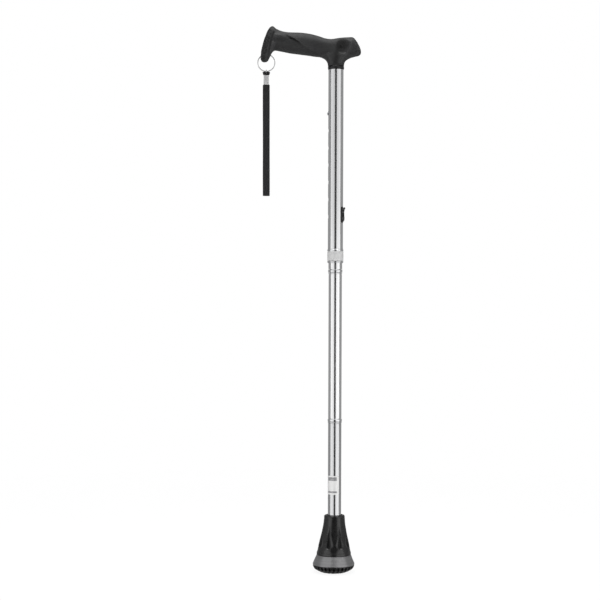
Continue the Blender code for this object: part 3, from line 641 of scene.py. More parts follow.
def make_strap(paint):
    route = [Vector((RING_X, y, z)) for y, z in strap_route()]
    line = relaxed(dense(route, 0.0009), 8)
    half_w, half_t = STRAP_WIDTH / 2, STRAP_THICKNESS / 2
    section = [(squarer(cos(a), 5.0), squarer(sin(a), 2.6)) for a in circle(28)]
    rings, across, along = [], [], []
    travelled = 0.0
    for i, here in enumerate(line):
        before, after = line[max(i - 1, 0)], line[min(i + 1, len(line) - 1)]
        if i:
            travelled += (here - before).length
        normal = Vector((1, 0, 0)).cross((after - before).normalized())
        ripple = EDGE_RIPPLE * sin(travelled * 2 * pi / RIPPLE_PITCH)
        lean = STRAP_LEAN * (STRAP_TOP_Z - here.z) + 0.00008 * sin(travelled * 2 * pi / 0.11)
        ring = []
        for u, v in section:
            edge = 1 + ripple / half_w * (abs(u) > 0.8)
            ring.append(here + Vector((u * half_w * edge + lean, 0, 0)) + normal * v * half_t)
            across.append(u)
            along.append(travelled)
        rings.append(ring)
    mesh = skin("strap_webbing", rings, caps=True, angle=50)
    with_values(with_values(mesh, "across", across), "along", along)
    strap = piece("strap_webbing", mesh, paint, "webbing", "wrist_strap_body", "wrist_strap")
    return strap, line[::3] + [line[-1]]


# ---------------------------------------------------------------- handle

# Each section runs from an upper to a lower point of the side view, (x, z), and has a half width in
# Y. The grip's go from the butt to the tip of the nose.
GRIP_SECTIONS = [
    ((0.0362, 0.7690), (0.0367, 0.7655), 0.0050),
    ((0.0349, 0.7728), (0.0358, 0.7628), 0.0095),
    ((0.0326, 0.7775), (0.0325, 0.7606), 0.0120),
    ((0.0290, 0.7834), (0.0275, 0.7594), 0.0134),
    ((0.0246, 0.7878), (0.0220, 0.7582), 0.0138),
    ((0.0160, 0.7878), (0.0140, 0.7570), 0.0136),
    ((0.0050, 0.7870), (0.0040, 0.7570), 0.0134),
    ((-0.0066, 0.7852), (-0.0080, 0.7574), 0.0136),
    ((-0.0165, 0.7863), (-0.0180, 0.7584), 0.0142),
    ((-0.0270, 0.7898), (-0.0290, 0.7590), 0.0152),
    ((-0.0400, 0.7928), (-0.0410, 0.7607), 0.0162),
    ((-0.0540, 0.7944), (-0.0540, 0.7624), 0.0164),
    ((-0.0680, 0.7947), (-0.0670, 0.7640), 0.0158),
    ((-0.0790, 0.7962), (-0.0780, 0.7661), 0.0150),
    ((-0.0878, 0.7998), (-0.0855, 0.7675), 0.0146),
    ((-0.0938, 0.8040), (-0.0892, 0.7680), 0.0144),
    ((-0.0996, 0.7996), (-0.0922, 0.7675), 0.0142),
    ((-0.1036, 0.7912), (-0.0942, 0.7660), 0.0140),
    ((-0.1070, 0.7812), (-0.0957, 0.7624), 0.0134),
    ((-0.1096, 0.7712), (-0.0975, 0.7586), 0.0126),
    ((-0.1112, 0.7622), (-0.0990, 0.7553), 0.0116),
    ((-0.1113, 0.7556), (-0.1004, 0.7528), 0.0100),
    ((-0.1090, 0.7517), (-0.1026, 0.7513), 0.0066),
]
STEM_Z = 0.7452
STEM_SECTIONS = [
    ((-0.0119, STEM_Z - 0.002), (0.0118, STEM_Z - 0.002), 0.0117),
    ((-0.0119, STEM_Z), (0.0118, STEM_Z), 0.0117),
    ((-0.0124, 0.7490), (0.0122, 0.7490), 0.0118),
    ((-0.0140, 0.7525), (0.0138, 0.7525), 0.0121),
    ((-0.0167, 0.7555), (0.0174, 0.7555), 0.0126),
    ((-0.0214, 0.7580), (0.0224, 0.7580), 0.0132),
    ((-0.0290, 0.7610), (0.0292, 0.7610), 0.0134),
    ((-0.0200, 0.7680), (0.0200, 0.7680), 0.0122),
]
HANDLE_VOXEL = 0.00055
# The palm swell's lower edge, from near the nose down towards the stem, as (x, z)
SWELL_EDGE = [
    (-0.0770, 0.7915),
    (-0.0700, 0.7870),
    (-0.0620, 0.7835),
    (-0.0560, 0.7798),
    (-0.0500, 0.7745),
    (-0.0440, 0.7702),
    (-0.0350, 0.7664),
    (-0.0250, 0.7632),
    (-0.0160, 0.7600),
]
# Lines of the moulding's other features, as (x, z)
RIB = [
    (0.0052, 0.7465),
    (0.0066, 0.7510),
    (0.0100, 0.7572),
    (0.0146, 0.7640),
    (0.0190, 0.7700),
    (0.0216, 0.7768),
    (0.0212, 0.7840),
]
FOLD = [(-0.0008, 0.7420), (-0.0006, 0.7520), (0.0004, 0.7610), (0.0034, 0.7690), (0.0080, 0.7740)]
LEFT_RIB = [(-0.0082, 0.7440), (-0.0082, 0.7520), (-0.0096, 0.7590), (-0.0130, 0.7640)]
CHANNEL = [
    (-0.0905, 0.7955),
    (-0.0938, 0.7880),
    (-0.0962, 0.7790),
    (-0.0982, 0.7690),
    (-0.0995, 0.7620),
]
NOSE_EDGE = [(-0.0915, 0.7800), (-0.0932, 0.7740), (-0.0946, 0.7680), (-0.0962, 0.7630)]
# Round features, and two patches that only paint shade, each as a centre and two half sizes in (x,
# z)
HOLLOW = (0.0098, 0.7732), (0.0104, 0.0116)
PAINTED_SHADE_PATCH = (0.0070, 0.7750), (0.0095, 0.0110)
CHEEK = (-0.0868, 0.7875), (0.0070, 0.0042)
DIM_PATCH = (-0.0800, 0.7825), (0.0095, 0.0052)


def eased(p, q, r, s, t):
    """The value at t from q to r on a smooth curve through p, q, r and s."""
    square, cube = 2 * p - 5 * q + 4 * r - s, 3 * q - p - 3 * r + s
    return 0.5 * (2 * q + (r - p) * t + square * t**2 + cube * t**3)


def between(stations, parts):
    """Stations of numbers, with parts - 1 more between each two on a smooth curve."""
    flat = [[*s[0], *s[1], s[2]] for s in stations]
    flat = [flat[0]] + flat + [flat[-1]]
    out = []
    for a, b, c, d in zip(flat, flat[1:], flat[2:], flat[3:]):
        for i in range(parts):
            out.append([eased(*four, i / parts) for four in zip(a, b, c, d)])
    out.append(flat[-1])
    return [((n[0], n[1]), (n[2], n[3]), n[4]) for n in out]


def oval(upper, lower, half_width, count, power=2.15):
    upper, lower = Vector((upper[0], 0, upper[1])), Vector((lower[0], 0, lower[1]))
    middle, half = (upper + lower) / 2, (upper - lower) / 2
    return [
        middle + half * squarer(cos(a), power) + Vector((0, half_width * squarer(sin(a), power), 0))
        for a in circle(count)
    ]


def line_distance(x, z, line):
    """(signed distance to an open line, share of the way along it). It is + above the line."""
    best = None
    for i, (a, b) in enumerate(zip(line, line[1:])):
        dx, dz = b[0] - a[0], b[1] - a[1]
        t = max(0.0, min(1.0, ((x - a[0]) * dx + (z - a[1]) * dz) / (dx * dx + dz * dz)))
        ox, oz = x - a[0] - dx * t, z - a[1] - dz * t
        d = hypot(ox, oz)
        if best is None or d < best[0]:
            side = 1 if dx * oz - dz * ox > 0 else -1
            best = (d, side, (i + t) / (len(line) - 1))
    return best[0] * best[1], best[2]


def bump_along(x, z, line, width, fade=0.15):
    """1 on a line, falling to 0 beside it and softly towards its ends."""
    d, share = line_distance(x, z, line)
    ends = step_between(0.0, fade, share) * (1 - step_between(1 - fade, 1.0, share))
    return exp(-((d / width) ** 2)) * ends


def patch(x, z, centre, size):
    """1 at the middle of an ellipse, falling to 0 on its edge."""
    return max(0.0, 1 - ((x - centre[0]) / size[0]) ** 2 - ((z - centre[1]) / size[1]) ** 2)


def handle_relief(co, normal):
    """(height, pebble, shade) of the moulding at a point: how far its surface moves out, its coarse
    grain, and its painted light, from painted shade in a crease (0) to a painted highlight on a
    ridge (1)."""
    x, z = co.x, co.z
    side = step_between(0.15, 0.60, abs(normal.y))

    # The palm swell stands over the recess below it, sharply near the nose and softly near the stem
    d, share = line_distance(x, z, SWELL_EDGE)
    ends = step_between(0.03, 0.20, share) * (1 - step_between(0.78, 1.0, share))
    width = 0.0004 + 0.0034 * max(0.0, share - 0.25)
    recess = (1 - step_between(-width, width, d)) * exp(-max(0.0, -d) / 0.0060)
    swell = step_between(-width, width, d) * exp(-max(0.0, d) / 0.0070)
    soft = step_between(0.28, 0.60, share)
    height = ends * (0.0008 * swell - (0.0025 - 0.0015 * soft) * recess)
    # Painted highlight on the swell and painted shade in the recess below it, strongest near the
    # nose
    shade = 0.5 + ends * (0.22 * swell - 0.70 * recess**2 * (1 - 0.8 * soft))

    # The thumb hollow behind the stem, and the rib that bounds it
    deep = patch(x, z, *HOLLOW)
    rib = bump_along(x, z, RIB, 0.0030, 0.10)
    fold = bump_along(x, z, FOLD, 0.0046, 0.12)
    left_rib = bump_along(x, z, LEFT_RIB, 0.0026)
    height += 0.0016 * rib + 0.0007 * left_rib - 0.0036 * deep**1.2 - 0.0020 * fold
    # Painted highlights on the ribs, painted shade in the hollow and the fold, and a patch of
    # painted shade beside the hollow
    shade += 0.38 * rib + 0.26 * left_rib - 0.46 * deep**0.8 - 0.44 * fold
    shade -= 0.30 * patch(x, z, *PAINTED_SHADE_PATCH)

    # The nose: a rounded cheek, a shallow channel before the outer band, and a raised inner edge
    cheek = patch(x, z, *CHEEK)
    channel = bump_along(x, z, CHANNEL, 0.0014)
    edge = bump_along(x, z, NOSE_EDGE, 0.0024)
    height += 0.0015 * cheek - 0.0010 * channel + 0.0020 * edge
    # Painted highlights on the cheek and inner edge, painted shade in the channel and a dim patch
    # beside the cheek
    shade += 0.40 * cheek - 0.30 * channel + 1.20 * edge - 0.26 * patch(x, z, *DIM_PATCH)

    nose = step_between(0.0930, 0.0985, -x)
    outer = nose * step_between(-0.1, 0.35, -normal.x + 0.15)
    butt = step_between(0.0245, 0.0300, x) * step_between(0.05, 0.45, normal.x + 0.10)
    pebble = max(outer, butt)
    # The pebbled outer face of the nose and the butt are painted darker
    shade = 0.5 + (shade - 0.5) * side - 0.34 * outer - 0.05 * butt
    rough = noise.noise(co * 560)
    height = height * side + pebble * 0.00042 * rough + 0.00008 * noise.noise(co * 130)
    return height, pebble, min(1.0, max(0.0, shade + 1.0 * pebble * noise.noise(co * 360)))


def make_handle(paint):
    grip = skin("grip", [oval(*s, 72) for s in between(GRIP_SECTIONS, 5)], caps=True)
    stem = skin("stem", [oval(*s, 72) for s in between(STEM_SECTIONS, 4)], caps=True)
    obj = placed("moulding", joined("moulding", [grip, stem]))
    remesh = obj.modifiers.new("voxels", "REMESH")
    remesh.mode = "VOXEL"
    remesh.voxel_size = HANDLE_VOXEL
    soften = obj.modifiers.new("soften", "SMOOTH")
    soften.factor = 0.5
    soften.iterations = 16
    mesh = applied(obj)
    normals = [v.normal.copy() for v in mesh.vertices]
    for vert, normal in zip(mesh.vertices, normals):
        vert.co += normal * handle_relief(vert.co, normal)[0]

    bm = bmesh.new()
    bm.from_mesh(mesh)
    cut = bmesh.ops.bisect_plane(
        bm,
        geom=list(bm.verts) + list(bm.edges) + list(bm.faces),
        plane_co=(0, 0, STEM_Z),
        plane_no=(0, 0, -1),
        clear_outer=True,
    )
    rim = [e for e in cut["geom_cut"] if isinstance(e, bmesh.types.BMEdge)]
    bmesh.ops.holes_fill(bm, edges=rim)
    bm.to_mesh(mesh)
    bm.free()

    # The ring's hole widens towards both ends
    hole_z = joint_anchor("ring_swing").z - 0.0006
    reach_x, throat_r, flare = 0.0100, 0.0021, 0.0028
    hourglass = [(throat_r + flare * abs(t / 8) ** 1.15, reach_x * t / 8) for t in range(-8, 9)]
    profile = [(0.0, -reach_x), *hourglass, (0.0, reach_x)]
    tool = turned("ring_hole", profile, closed=False, steps=40)
    tool.transform(Matrix.Translation((RING_X, 0, hole_z)) @ Matrix.Rotation(pi / 2, 4, "Y"))
    mesh = smooth(carved("grip_moulding", mesh, [tool]), 50)
    # The pebble grain and the painted shade and highlights, stored for the soft-touch material
    relief = [handle_relief(v.co, v.normal) for v in mesh.vertices]
    for name, at in (("pebble", 1), ("shade", 2)):
        with_values(mesh, name, [r[at] for r in relief])
    piece("grip_moulding", mesh, paint, "soft_grip", "handle_section", "handle_grip")


def bead(r, low, high, depth, power, steps):
    """The points of a rounded rim, from its upper edge round to its lower one."""
    middle, half = (low + high) / 2, (high - low) / 2
    turns = [radians(90 - 180 * i / steps) for i in range(steps + 1)]
    return [(r - depth + depth * max(0.0, cos(a)) ** power, middle + half * sin(a)) for a in turns]


def make_handle_collar(paint):
    low, high = span("handle_collar", 2)
    profile = bead(reach("handle_collar"), low, high, 0.0009, 1, 10)
    profile += [(0.0098, low), (0.0098, high)]
    mesh = turned("bead_collar", profile)
    piece("bead_collar", mesh, paint, "black_plastic", "handle_section", "handle_collar")


# ---------------------------------------------------------------- tubes, collar and latch

HOLES = 7
HOLE_PITCH = 0.0254
HOLE_R = 0.0035
PEG_Z = 0.5320
RIM = 0.00025


def tube_profile(outer, inner, low, high, lines):
    """A tube's section with fine bevelled rims, and its sides cut into lines to drill cleanly."""
    outline = [(outer - RIM, high), (outer, high - RIM)]
    outline += [(outer, high - RIM - (high - low - 2 * RIM) * i / lines) for i in range(1, lines)]
    outline += [(outer, low + RIM), (outer - RIM, low), (inner, low)]
    outline += [(inner, low + (high - low) * i / lines) for i in range(1, lines)]
    outline += [(inner, high)]
    return outline


def make_outer_tube(paint):
    low, high = span("outer_tube", 2)
    near, far, half = 0.006, 0.014, 0.0038
    mesh = turned("upper_tube", tube_profile(OUTER_TUBE_R, OUTER_TUBE_BORE_R, low, high, 60))
    tools = [
        rod("hole", HOLE_R, (-far, 0, z), (-near, 0, z), 40)
        for z in [BUTTON_Z - HOLE_PITCH * i for i in range(HOLES)]
    ]
    tools.append(rod("peg_hole", 0.0021, (near, 0, PEG_Z), (far, 0, PEG_Z)))
    window = [(near, 0.5144), (far, 0.5144), (far, 0.5242), (near, 0.5242)]
    tools.append(extruded("window", window, half))
    mesh = carved("upper_tube", mesh, [joined("tools", tools)])
    true_round(mesh, OUTER_TUBE_R)
    piece("upper_tube", mesh, paint, "bright_aluminium", "handle_section", "outer_tube")


def make_height_tube(paint):
    low, high = span("height_tube", 2)
    near, far, lines = 0.005, 0.012, 50
    bell_r, bore = TUBE_BELL_R, TUBE_BORE_R
    collar_low = span("collar_lower_lip", 2)[0]
    neck, wide = collar_low + 0.0045, collar_low - 0.0005
    outline = [(TUBE_R - RIM, high), (TUBE_R, high - RIM)]
    outline += [(TUBE_R, high + (neck - high) * i / lines) for i in range(1, lines)]
    outline += [
        (TUBE_R + (bell_r - TUBE_R) * step_between(0, 1, i / 10), neck + (wide - neck) * i / 10)
        for i in range(11)
    ]
    outline += [(bell_r, low), (bore, low)]
    outline += [(bore, low + (high - low) * i / lines) for i in range(1, lines + 1)]
    mesh = turned("sliding_tube", outline)
    tools = [rod("way", 0.0034, (-far, 0, BUTTON_Z), (-near, 0, BUTTON_Z), 40)]
    tools += [
        rod("peg_hole", 0.0023, (near + 0.001, 0, z), (far, 0, z), 32)
        for z in [PEG_Z + HOLE_PITCH * i for i in range(HOLES)]
    ]
    mesh = carved("sliding_tube", mesh, [joined("tools", tools)])
    true_round(mesh, TUBE_R)
    piece("sliding_tube", mesh, paint, "bright_aluminium", "height_section", "height_tube")


def make_plain_tubes(middle_paint, lower_paint):
    for name, node, body, paint in (
        ("shaft_tube", "middle_tube", "middle_section", middle_paint),
        ("foot_tube", "lower_tube", "lower_section", lower_paint),
    ):
        low, high = span(node, 2)
        mesh = turned(name, tube_profile(TUBE_R, TUBE_BORE_R, low, high, 12))
        true_round(mesh, TUBE_R)
        piece(name, mesh, paint, "bright_aluminium", body, node)


def make_fold_joint(paint, number, above, below, fold_z):
    node = f"{number}_joint_ferrule"
    low, high = span(node, 2)
    sleeve, socket = SLEEVE_R, 0.0072
    profile = [(sleeve, high), (sleeve, fold_z + 0.0044)]
    profile += bead(reach(node), low, fold_z + 0.0044, 0.0009, 0.75, 16)
    profile += [(socket + 0.0006, low), (socket + 0.0003, low + 0.00018), (socket, low + 0.0007)]
    profile += [(socket, high)]
    mesh = turned(f"{number}_bead", profile)
    piece(f"{number}_bead", mesh, paint, "bright_aluminium", above, node)

    # The plug's head is an arc about a point off its axis, so that it clears the socket as it turns
    flange_high, flange_low = fold_z - 0.00015, fold_z - 0.00175
    flange_r, bore, offset, slack = 0.0103, 0.0030, 0.0120, 0.0003
    head_high, plug_low, corner = fold_z + 0.0102, fold_z - 0.0200, 0.0006
    turn_r = offset + socket
    taper = [
        (sqrt(turn_r**2 - h**2) - offset - slack, fold_z + h)
        for h in [0.0100 * i / 10 for i in range(10, 0, -1)]
    ]
    top = (taper[0][0] - 0.0004, head_high)
    profile = [top, *taper, (socket - slack, flange_high)]
    flange = [(0.0074, flange_high), (flange_r, flange_high), (flange_r, flange_low)]
    profile += rounded([*flange, (sleeve, flange_low)], corner, closed=False)[1:]
    profile += [(sleeve, plug_low), (bore, plug_low)]
    mouth = [(bore, plug_low + 0.001), (bore, head_high), top]
    profile += rounded(mouth, corner, closed=False)[:-1]
    mesh = turned(f"{number}_plug", profile)
    piece(f"{number}_plug", mesh, paint, "bright_aluminium", below, f"{number}_joint_plug")


def make_cord_bridge(paint, number, above, below, fold_z):
    """The stretch of cord that shows when the joint opens. At rest it is inside the plug."""
    radius, steps, tuck = 0.0021, 40, 0.0002
    top, bottom = fold_z + 0.0120, fold_z + 0.0085
    rings = []
    for i in range(steps + 1):
        z = top + (bottom - top) * i / steps
        rings.append([(radius * cos(a), radius * sin(a), z) for a in circle(20)])
    mesh = skin(f"{number}_cord_bridge", rings, caps=True)
    obj = piece(f"{number}_cord_bridge", mesh, paint, "elastic", None)
    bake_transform(obj)
    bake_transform(obj)


def make_collar(bright, frosted):
    ring_low, ring_high = span("locking_collar", 2)
    lip_r, ring_r = reach("collar_upper_lip"), reach("locking_collar")
    over = OUTER_TUBE_R + 0.00025

    def lip(name, node, inner, body, far):
        """A bead with a narrow groove on its far side from the collar."""
        low, high = span(node, 2)
        middle, half = (low + high) / 2, (high - low) / 2
        face = [
            (r - 0.0006 * exp(-(((z - middle) / half - 0.50 * far) / 0.26) ** 2), z)
            for r, z in bead(lip_r, low, high, 0.0010, 0.6, 36)
        ]
        mesh = turned(name, face + [(inner, low), (inner, high)])
        piece(name, mesh, bright, "bright_aluminium", body, node)

    lip("collar_top_lip", "collar_upper_lip", over, "handle_section", 1)
    lip("collar_bottom_lip", "collar_lower_lip", TUBE_BELL_R + 0.0003, "locking_collar_body", -1)

    teeth, rows, slant, cut = 84, 56, 1450, 0.00016

    def knurl(r, z, a):
        if r < ring_r - 0.0003:
            return r, z
        depth = step_between(ring_low + 0.0004, ring_low + 0.0014, z) * (
            1 - step_between(ring_high - 0.0014, ring_high - 0.0004, z)
        )
        left = abs(sin(a * teeth / 4 + z * slant))
        right = abs(sin(a * teeth / 4 - z * slant))
        return r - cut * depth * (1 - min(left, right) ** 0.7), z

    profile = [(ring_r - 0.00035, ring_high), (ring_r - 0.0001, ring_high - 0.0001)]
    profile += [
        (ring_r, ring_high - 0.0003 - (ring_high - ring_low - 0.0006) * i / rows)
        for i in range(rows + 1)
    ]
    profile += [(ring_r - 0.0001, ring_low + 0.0001), (ring_r - 0.00035, ring_low)]
    profile += [(over, ring_low), (over, ring_high)]
    mesh = turned("knurled_collar", profile, steps=teeth * 5, shape=knurl, angle=50)
    node = "locking_collar"
    piece("knurled_collar", mesh, frosted, "frosted_aluminium", "locking_collar_body", node)


# The thumb lever's side view, as (x, z), and the pin that it turns on
LATCH_OUTLINE = [
    (0.0121, 0.5371),
    (0.0142, 0.5368),
    (0.0145, 0.5358),
    (0.0136, 0.5342),
    (0.0129, 0.5310),
    (0.0128, 0.5268),
    (0.0131, 0.5236),
    (0.0133, 0.5206),
    (0.0130, 0.5178),
    (0.0122, 0.5161),
    (0.0115, 0.5164),
    (0.0115, 0.5366),
]
PIN_X, PIN_Z, PIN_HALF = 0.0120, 0.5260, 0.0048


def make_latch(paint):
    low, high = span("latch_housing", 2)
    middle = (low + high) / 2
    inner, outer, half = OUTER_TUBE_R + 0.0003, 0.0123, 0.0078
    # The housing is a saddle on the tube: an outline in (y, z) wrapped round it
    outline = rounded([(-half, low), (half, low), (half, high), (-half, high)], 0.0026, steps=6)
    levels = ((1.0, inner), (1.0, outer - 0.00035), (0.965, outer - 0.00008), (0.90, outer))
    rings = []
    for scale, radius in levels:
        ring = []
        for y, z in outline:
            angle = asin(y * scale / OUTER_TUBE_R)
            z = middle + (z - middle) * (1 - (1 - scale) * 0.45)
            ring.append((radius * cos(angle), radius * sin(angle), z))
        rings.append(ring)
    bm = bmesh.new()
    rows = laid(bm, rings)
    for row in (rows[0], rows[-1]):
        for i in range(len(row) // 2 - 1):
            a, b = row[i], row[i + 1]
            c, d = row[-2 - i], row[-1 - i]
            if len({a, b, c, d}) == 4:
                bm.faces.new((a, b, c, d))
    mesh = cleaned("latch_saddle", bm, 40)
    ears = rounded([(0.0110, 0.5232), (0.0129, 0.5238), (0.0129, 0.5282), (0.0110, 0.5288)], 0.0010)
    mesh = carved("latch_saddle", mesh, [extruded("ears", ears, 0.0050, 0.0005)], "UNION")
    half, floor, ceiling = 0.0035, low + 0.0012, high - 0.0006
    mouth = rounded([(-half, floor), (half, floor), (half, ceiling), (-half, ceiling)], 0.0008)
    opening = skin("opening", [[(x, y, z) for y, z in mouth] for x in (0.004, 0.02)], caps=True)
    mesh = carved("latch_saddle", mesh, [opening])
    ends = (PIN_X, -PIN_HALF, PIN_Z), (PIN_X, PIN_HALF, PIN_Z)
    mesh = carved("latch_saddle", mesh, [rod("pin_room", 0.00065, *ends)])
    piece("latch_saddle", mesh, paint, "black_plastic", "handle_section", "latch_housing")

    lever = extruded("thumb_lever", rounded(LATCH_OUTLINE, 0.0007), 0.0032, 0.00045)
    peg = rod("peg", 0.0015, (0.0089, 0, PEG_Z), (0.0122, 0, PEG_Z))
    lever = carved("thumb_lever", lever, [peg], "UNION")
    lever = carved("thumb_lever", lever, [rod("axle", 0.00075, *ends)])
    # Three grip lines across the pressing end
    x, half = 0.01345, 0.0036
    grooves = [
        rod("groove", 0.00028, (x, -half, z), (x, half, z), 12) for z in (0.5186, 0.5200, 0.5214)
    ]
    lever = carved("thumb_lever", lever, [joined("grooves", grooves)])
    piece("thumb_lever", lever, paint, "black_plastic", "latch_lever_body", "latch_lever")


def make_snap_button(paint):
    base_r, r, neck, corner, dome = 0.0040, 0.0031, 0.0046, 0.0003, 0.0009
    profile = [(0.0, -0.0008), (base_r - 0.0001, -0.0008), (base_r, -0.0007)]
    profile += [(base_r, 0.0), (r, 0.0)]
    profile += [(r, neck * i / 6) for i in range(1, 7)]
    corner_turns = [radians(30 * i) for i in range(4)]
    profile += [(r - corner + corner * cos(a), neck + corner * sin(a)) for a in corner_turns]
    profile += [
        (r * (1 - i / 6), neck + corner + dome * sin(pi / 2 * i / 6)) for i in range(1, 7)
    ]

    def head(radius, height, a):
        """It slopes back above its middle, so that the tube above pushes it in."""
        slope = 0.0057 - 0.30 * max(0.0, radius * cos(a) + 0.0010) if height > 0.002 else height
        return radius, min(height, max(0.0, slope))

    mesh = turned("spring_button", profile, closed=False, steps=48, shape=head, angle=40)
    turn = Matrix.Rotation(-pi / 2, 4, "Y")
    mesh.transform(Matrix.Translation((-0.0070, 0, BUTTON_Z)) @ turn)
    piece("spring_button", mesh, paint, "steel", "snap_button_body", "snap_button")


# ---------------------------------------------------------------- foot

FLUTES = 8
FLUTE_TURN = radians(-22.5)
FLUTE_LOW, FLUTE_ROUND, FLUTE_HIGH = 0.0340, 0.0425, 0.0695
FACET = 0.0145
FOOT_LEAN = 0.0012
BOOT_TOP = 0.0828
BOOT_NECK_R = 0.0140
# The boot's outside, as (radius, height)
BOOT = [
    (0.0124, BOOT_TOP + 0.0006),
    (0.0133, BOOT_TOP + 0.0009),
    (0.0145, BOOT_TOP + 0.0005),
    (0.0152, BOOT_TOP - 0.0006),
    (0.0155, BOOT_TOP - 0.0024),
    (0.01555, 0.0780),
    (0.0158, 0.0750),
    (0.0162, 0.0712),
    (0.0168, 0.0675),
    (0.0178, 0.0620),
    (0.0190, 0.0560),
    (0.0203, 0.0500),
    (0.0217, 0.0440),
    (0.0229, 0.0385),
    (0.0238, 0.0345),
    (0.0243, 0.0312),
    (0.0246, 0.0298),
    (0.0250, 0.0294),
    (0.0252, 0.0284),
    (0.02525, 0.0272),
]
# The tread's domed side, from its edge in to its flat pad, as (radius, height)
SOLE = [
    (0.0304, 0.0096),
    (0.0302, 0.0086),
    (0.0297, 0.0074),
    (0.0290, 0.0062),
    (0.0280, 0.0051),
    (0.0268, 0.0042),
    (0.0254, 0.0034),
    (0.0240, 0.0026),
    (0.0226, 0.0019),
    (0.0212, 0.0012),
    (0.0198, 0.0006),
    (0.0186, 0.0002),
    (0.0175, 0.0),
]


def leaned(mesh):
    """The rubber foot sits a little askew on its tube, to -X at its bottom."""
    for vert in mesh.vertices:
        vert.co.x -= FOOT_LEAN * max(0.0, 1 - vert.co.z / 0.078)
    return mesh


def boot_radius(z):
    for (r0, z0), (r1, z1) in zip(BOOT, BOOT[1:]):
        if z1 <= z <= z0:
            return r0 + (r1 - r0) * (z0 - z) / (z0 - z1)
    return BOOT[-1][0]


def flute(r, z, a):
    """The boot is a soft octagon. Each corner has a V-shaped flute, pointed at its top, wide and
    round at its bottom, with a raised edge."""
    turned_by = a + pi / 2 - FLUTE_TURN
    if r > BOOT_NECK_R:
        facet = step_between(0.0290, 0.0360, z) * (1 - step_between(0.0805, 0.0832, z))
        r *= 1 + FACET * facet * cos(FLUTES * turned_by)
    if r < BOOT_NECK_R or not FLUTE_LOW < z < FLUTE_HIGH:
        return r, z
    pitch = 2 * pi / FLUTES
    off = turned_by % pitch
    off = min(off, pitch - off)
    grow = min(1.0, (FLUTE_HIGH - z) / 0.0270)
    half = radians(0.5 + 14.3 * grow)
    if z < FLUTE_ROUND:
        half *= sqrt(max(0.0, 1 - ((FLUTE_ROUND - z) / 0.0068) ** 2))
    if half <= 0 or off > half * 1.4:
        return r, z
    u = off / half
    cut = 0.50 * half * r * (1 - sqrt(u * u + 0.012)) if u < 0.99 else 0.0
    rim = 0.00028 * exp(-(((u - 1.05) / 0.09) ** 2)) * grow
    return r - cut + rim, z


def flute_depth(co):
    """From 0 on the boot's outside to 1 deep in a flute."""
    r = hypot(co.x, co.y)
    fluted = FLUTE_LOW < co.z < FLUTE_HIGH and r > BOOT_NECK_R
    return step_between(0.0004, 0.0016, boot_radius(co.z) - r) if fluted else 0.0


def make_boot(paint):
    fine, top = 118, BOOT_TOP
    start, end = BOOT[3][1], BOOT[-1][1]
    heights = [start + (end - start) * i / fine for i in range(1, fine + 1)]
    profile = BOOT[:4] + [(boot_radius(z), z) for z in heights]
    bore, socket, roof = TUBE_R + 0.0003, 0.0180, 0.0144
    profile += [(0.0252, 0.0261), (0.0248, 0.0257), (socket, 0.0257)]
    profile += [(socket, roof), (0.0, roof), (0.0, 0.0271), (bore, 0.0271), (bore, top - 0.0024)]
    profile += [(0.0106, top - 0.0014), (0.0112, top - 0.0002), (0.0118, top + 0.0003)]
    mesh = turned("rubber_boot", profile, steps=FLUTES * 46, shape=flute, angle=40)
    with_values(mesh, "hollow", [flute_depth(v.co) for v in mesh.vertices])
    piece("rubber_boot", leaned(mesh), paint, "black_rubber", "lower_section", "foot_boot")


def make_foot_ring(paint):
    low, high = span("foot_ring", 2)
    top_r, base_r, bore, corner = 0.0254, reach("foot_ring"), 0.0183, 0.0004
    profile = [(bore, high), (top_r - corner, high), (top_r, high - corner)]
    rows, grooves, depth = 64, 7.0, 0.00022
    for i in range(1, rows):
        t = i / rows
        z = high - corner + (low + 0.0016 - high + corner) * t
        groove = depth * max(0.0, sin(t * 2 * pi * grooves)) ** 1.5
        profile.append((top_r + (base_r - top_r) * t - groove, z))
    profile += [(base_r, low + 0.0014), (base_r, low + corner), (base_r - corner, low), (bore, low)]
    mesh = leaned(turned("grooved_ring", profile, steps=160, angle=60))
    piece("grooved_ring", mesh, paint, "grey_rubber", "lower_section", "foot_ring")


SHOULDER_Z = 0.0103


def lugged(r, z, a):
    """The sole's lugs: the outer ones stand on the shoulder, the inner ones under it, round a pad
    of small studs."""
    if z >= SHOULDER_Z:
        return r, z
    if r > 0.0262 and z > 0.0:
        gap = 1 - step_between(-0.55, 0.0, cos(a * 30))
        gap *= step_between(0.0260, 0.0270, r) * (1 - step_between(0.0080, 0.0102, z))
        return r - 0.0032 * gap, z + 0.0016 * gap
    if r > 0.0181:
        gap = 1 - step_between(-0.55, 0.0, cos(a * 22 + pi / 2))
        gap *= step_between(0.0183, 0.0190, r) * (1 - step_between(0.0246, 0.0256, r))
        groove = step_between(0.0250, 0.0257, r) * (1 - step_between(0.0257, 0.0264, r))
        return r, z + 0.0026 * gap + 0.0018 * groove
    stud = step_between(0.30, 0.55, 0.5 + 0.5 * cos(r * 2 * pi / 0.0044))
    if r > 0.003:
        spokes = max(6, round(r / 0.0007 / 6) * 6)
        stud *= step_between(0.25, 0.5, 0.5 + 0.5 * cos(a * spokes))
    edge = 1 - step_between(0.0168, 0.0172, r) if r > 0.0168 else 1.0
    return r, z + 0.0009 * edge * (1 - stud)


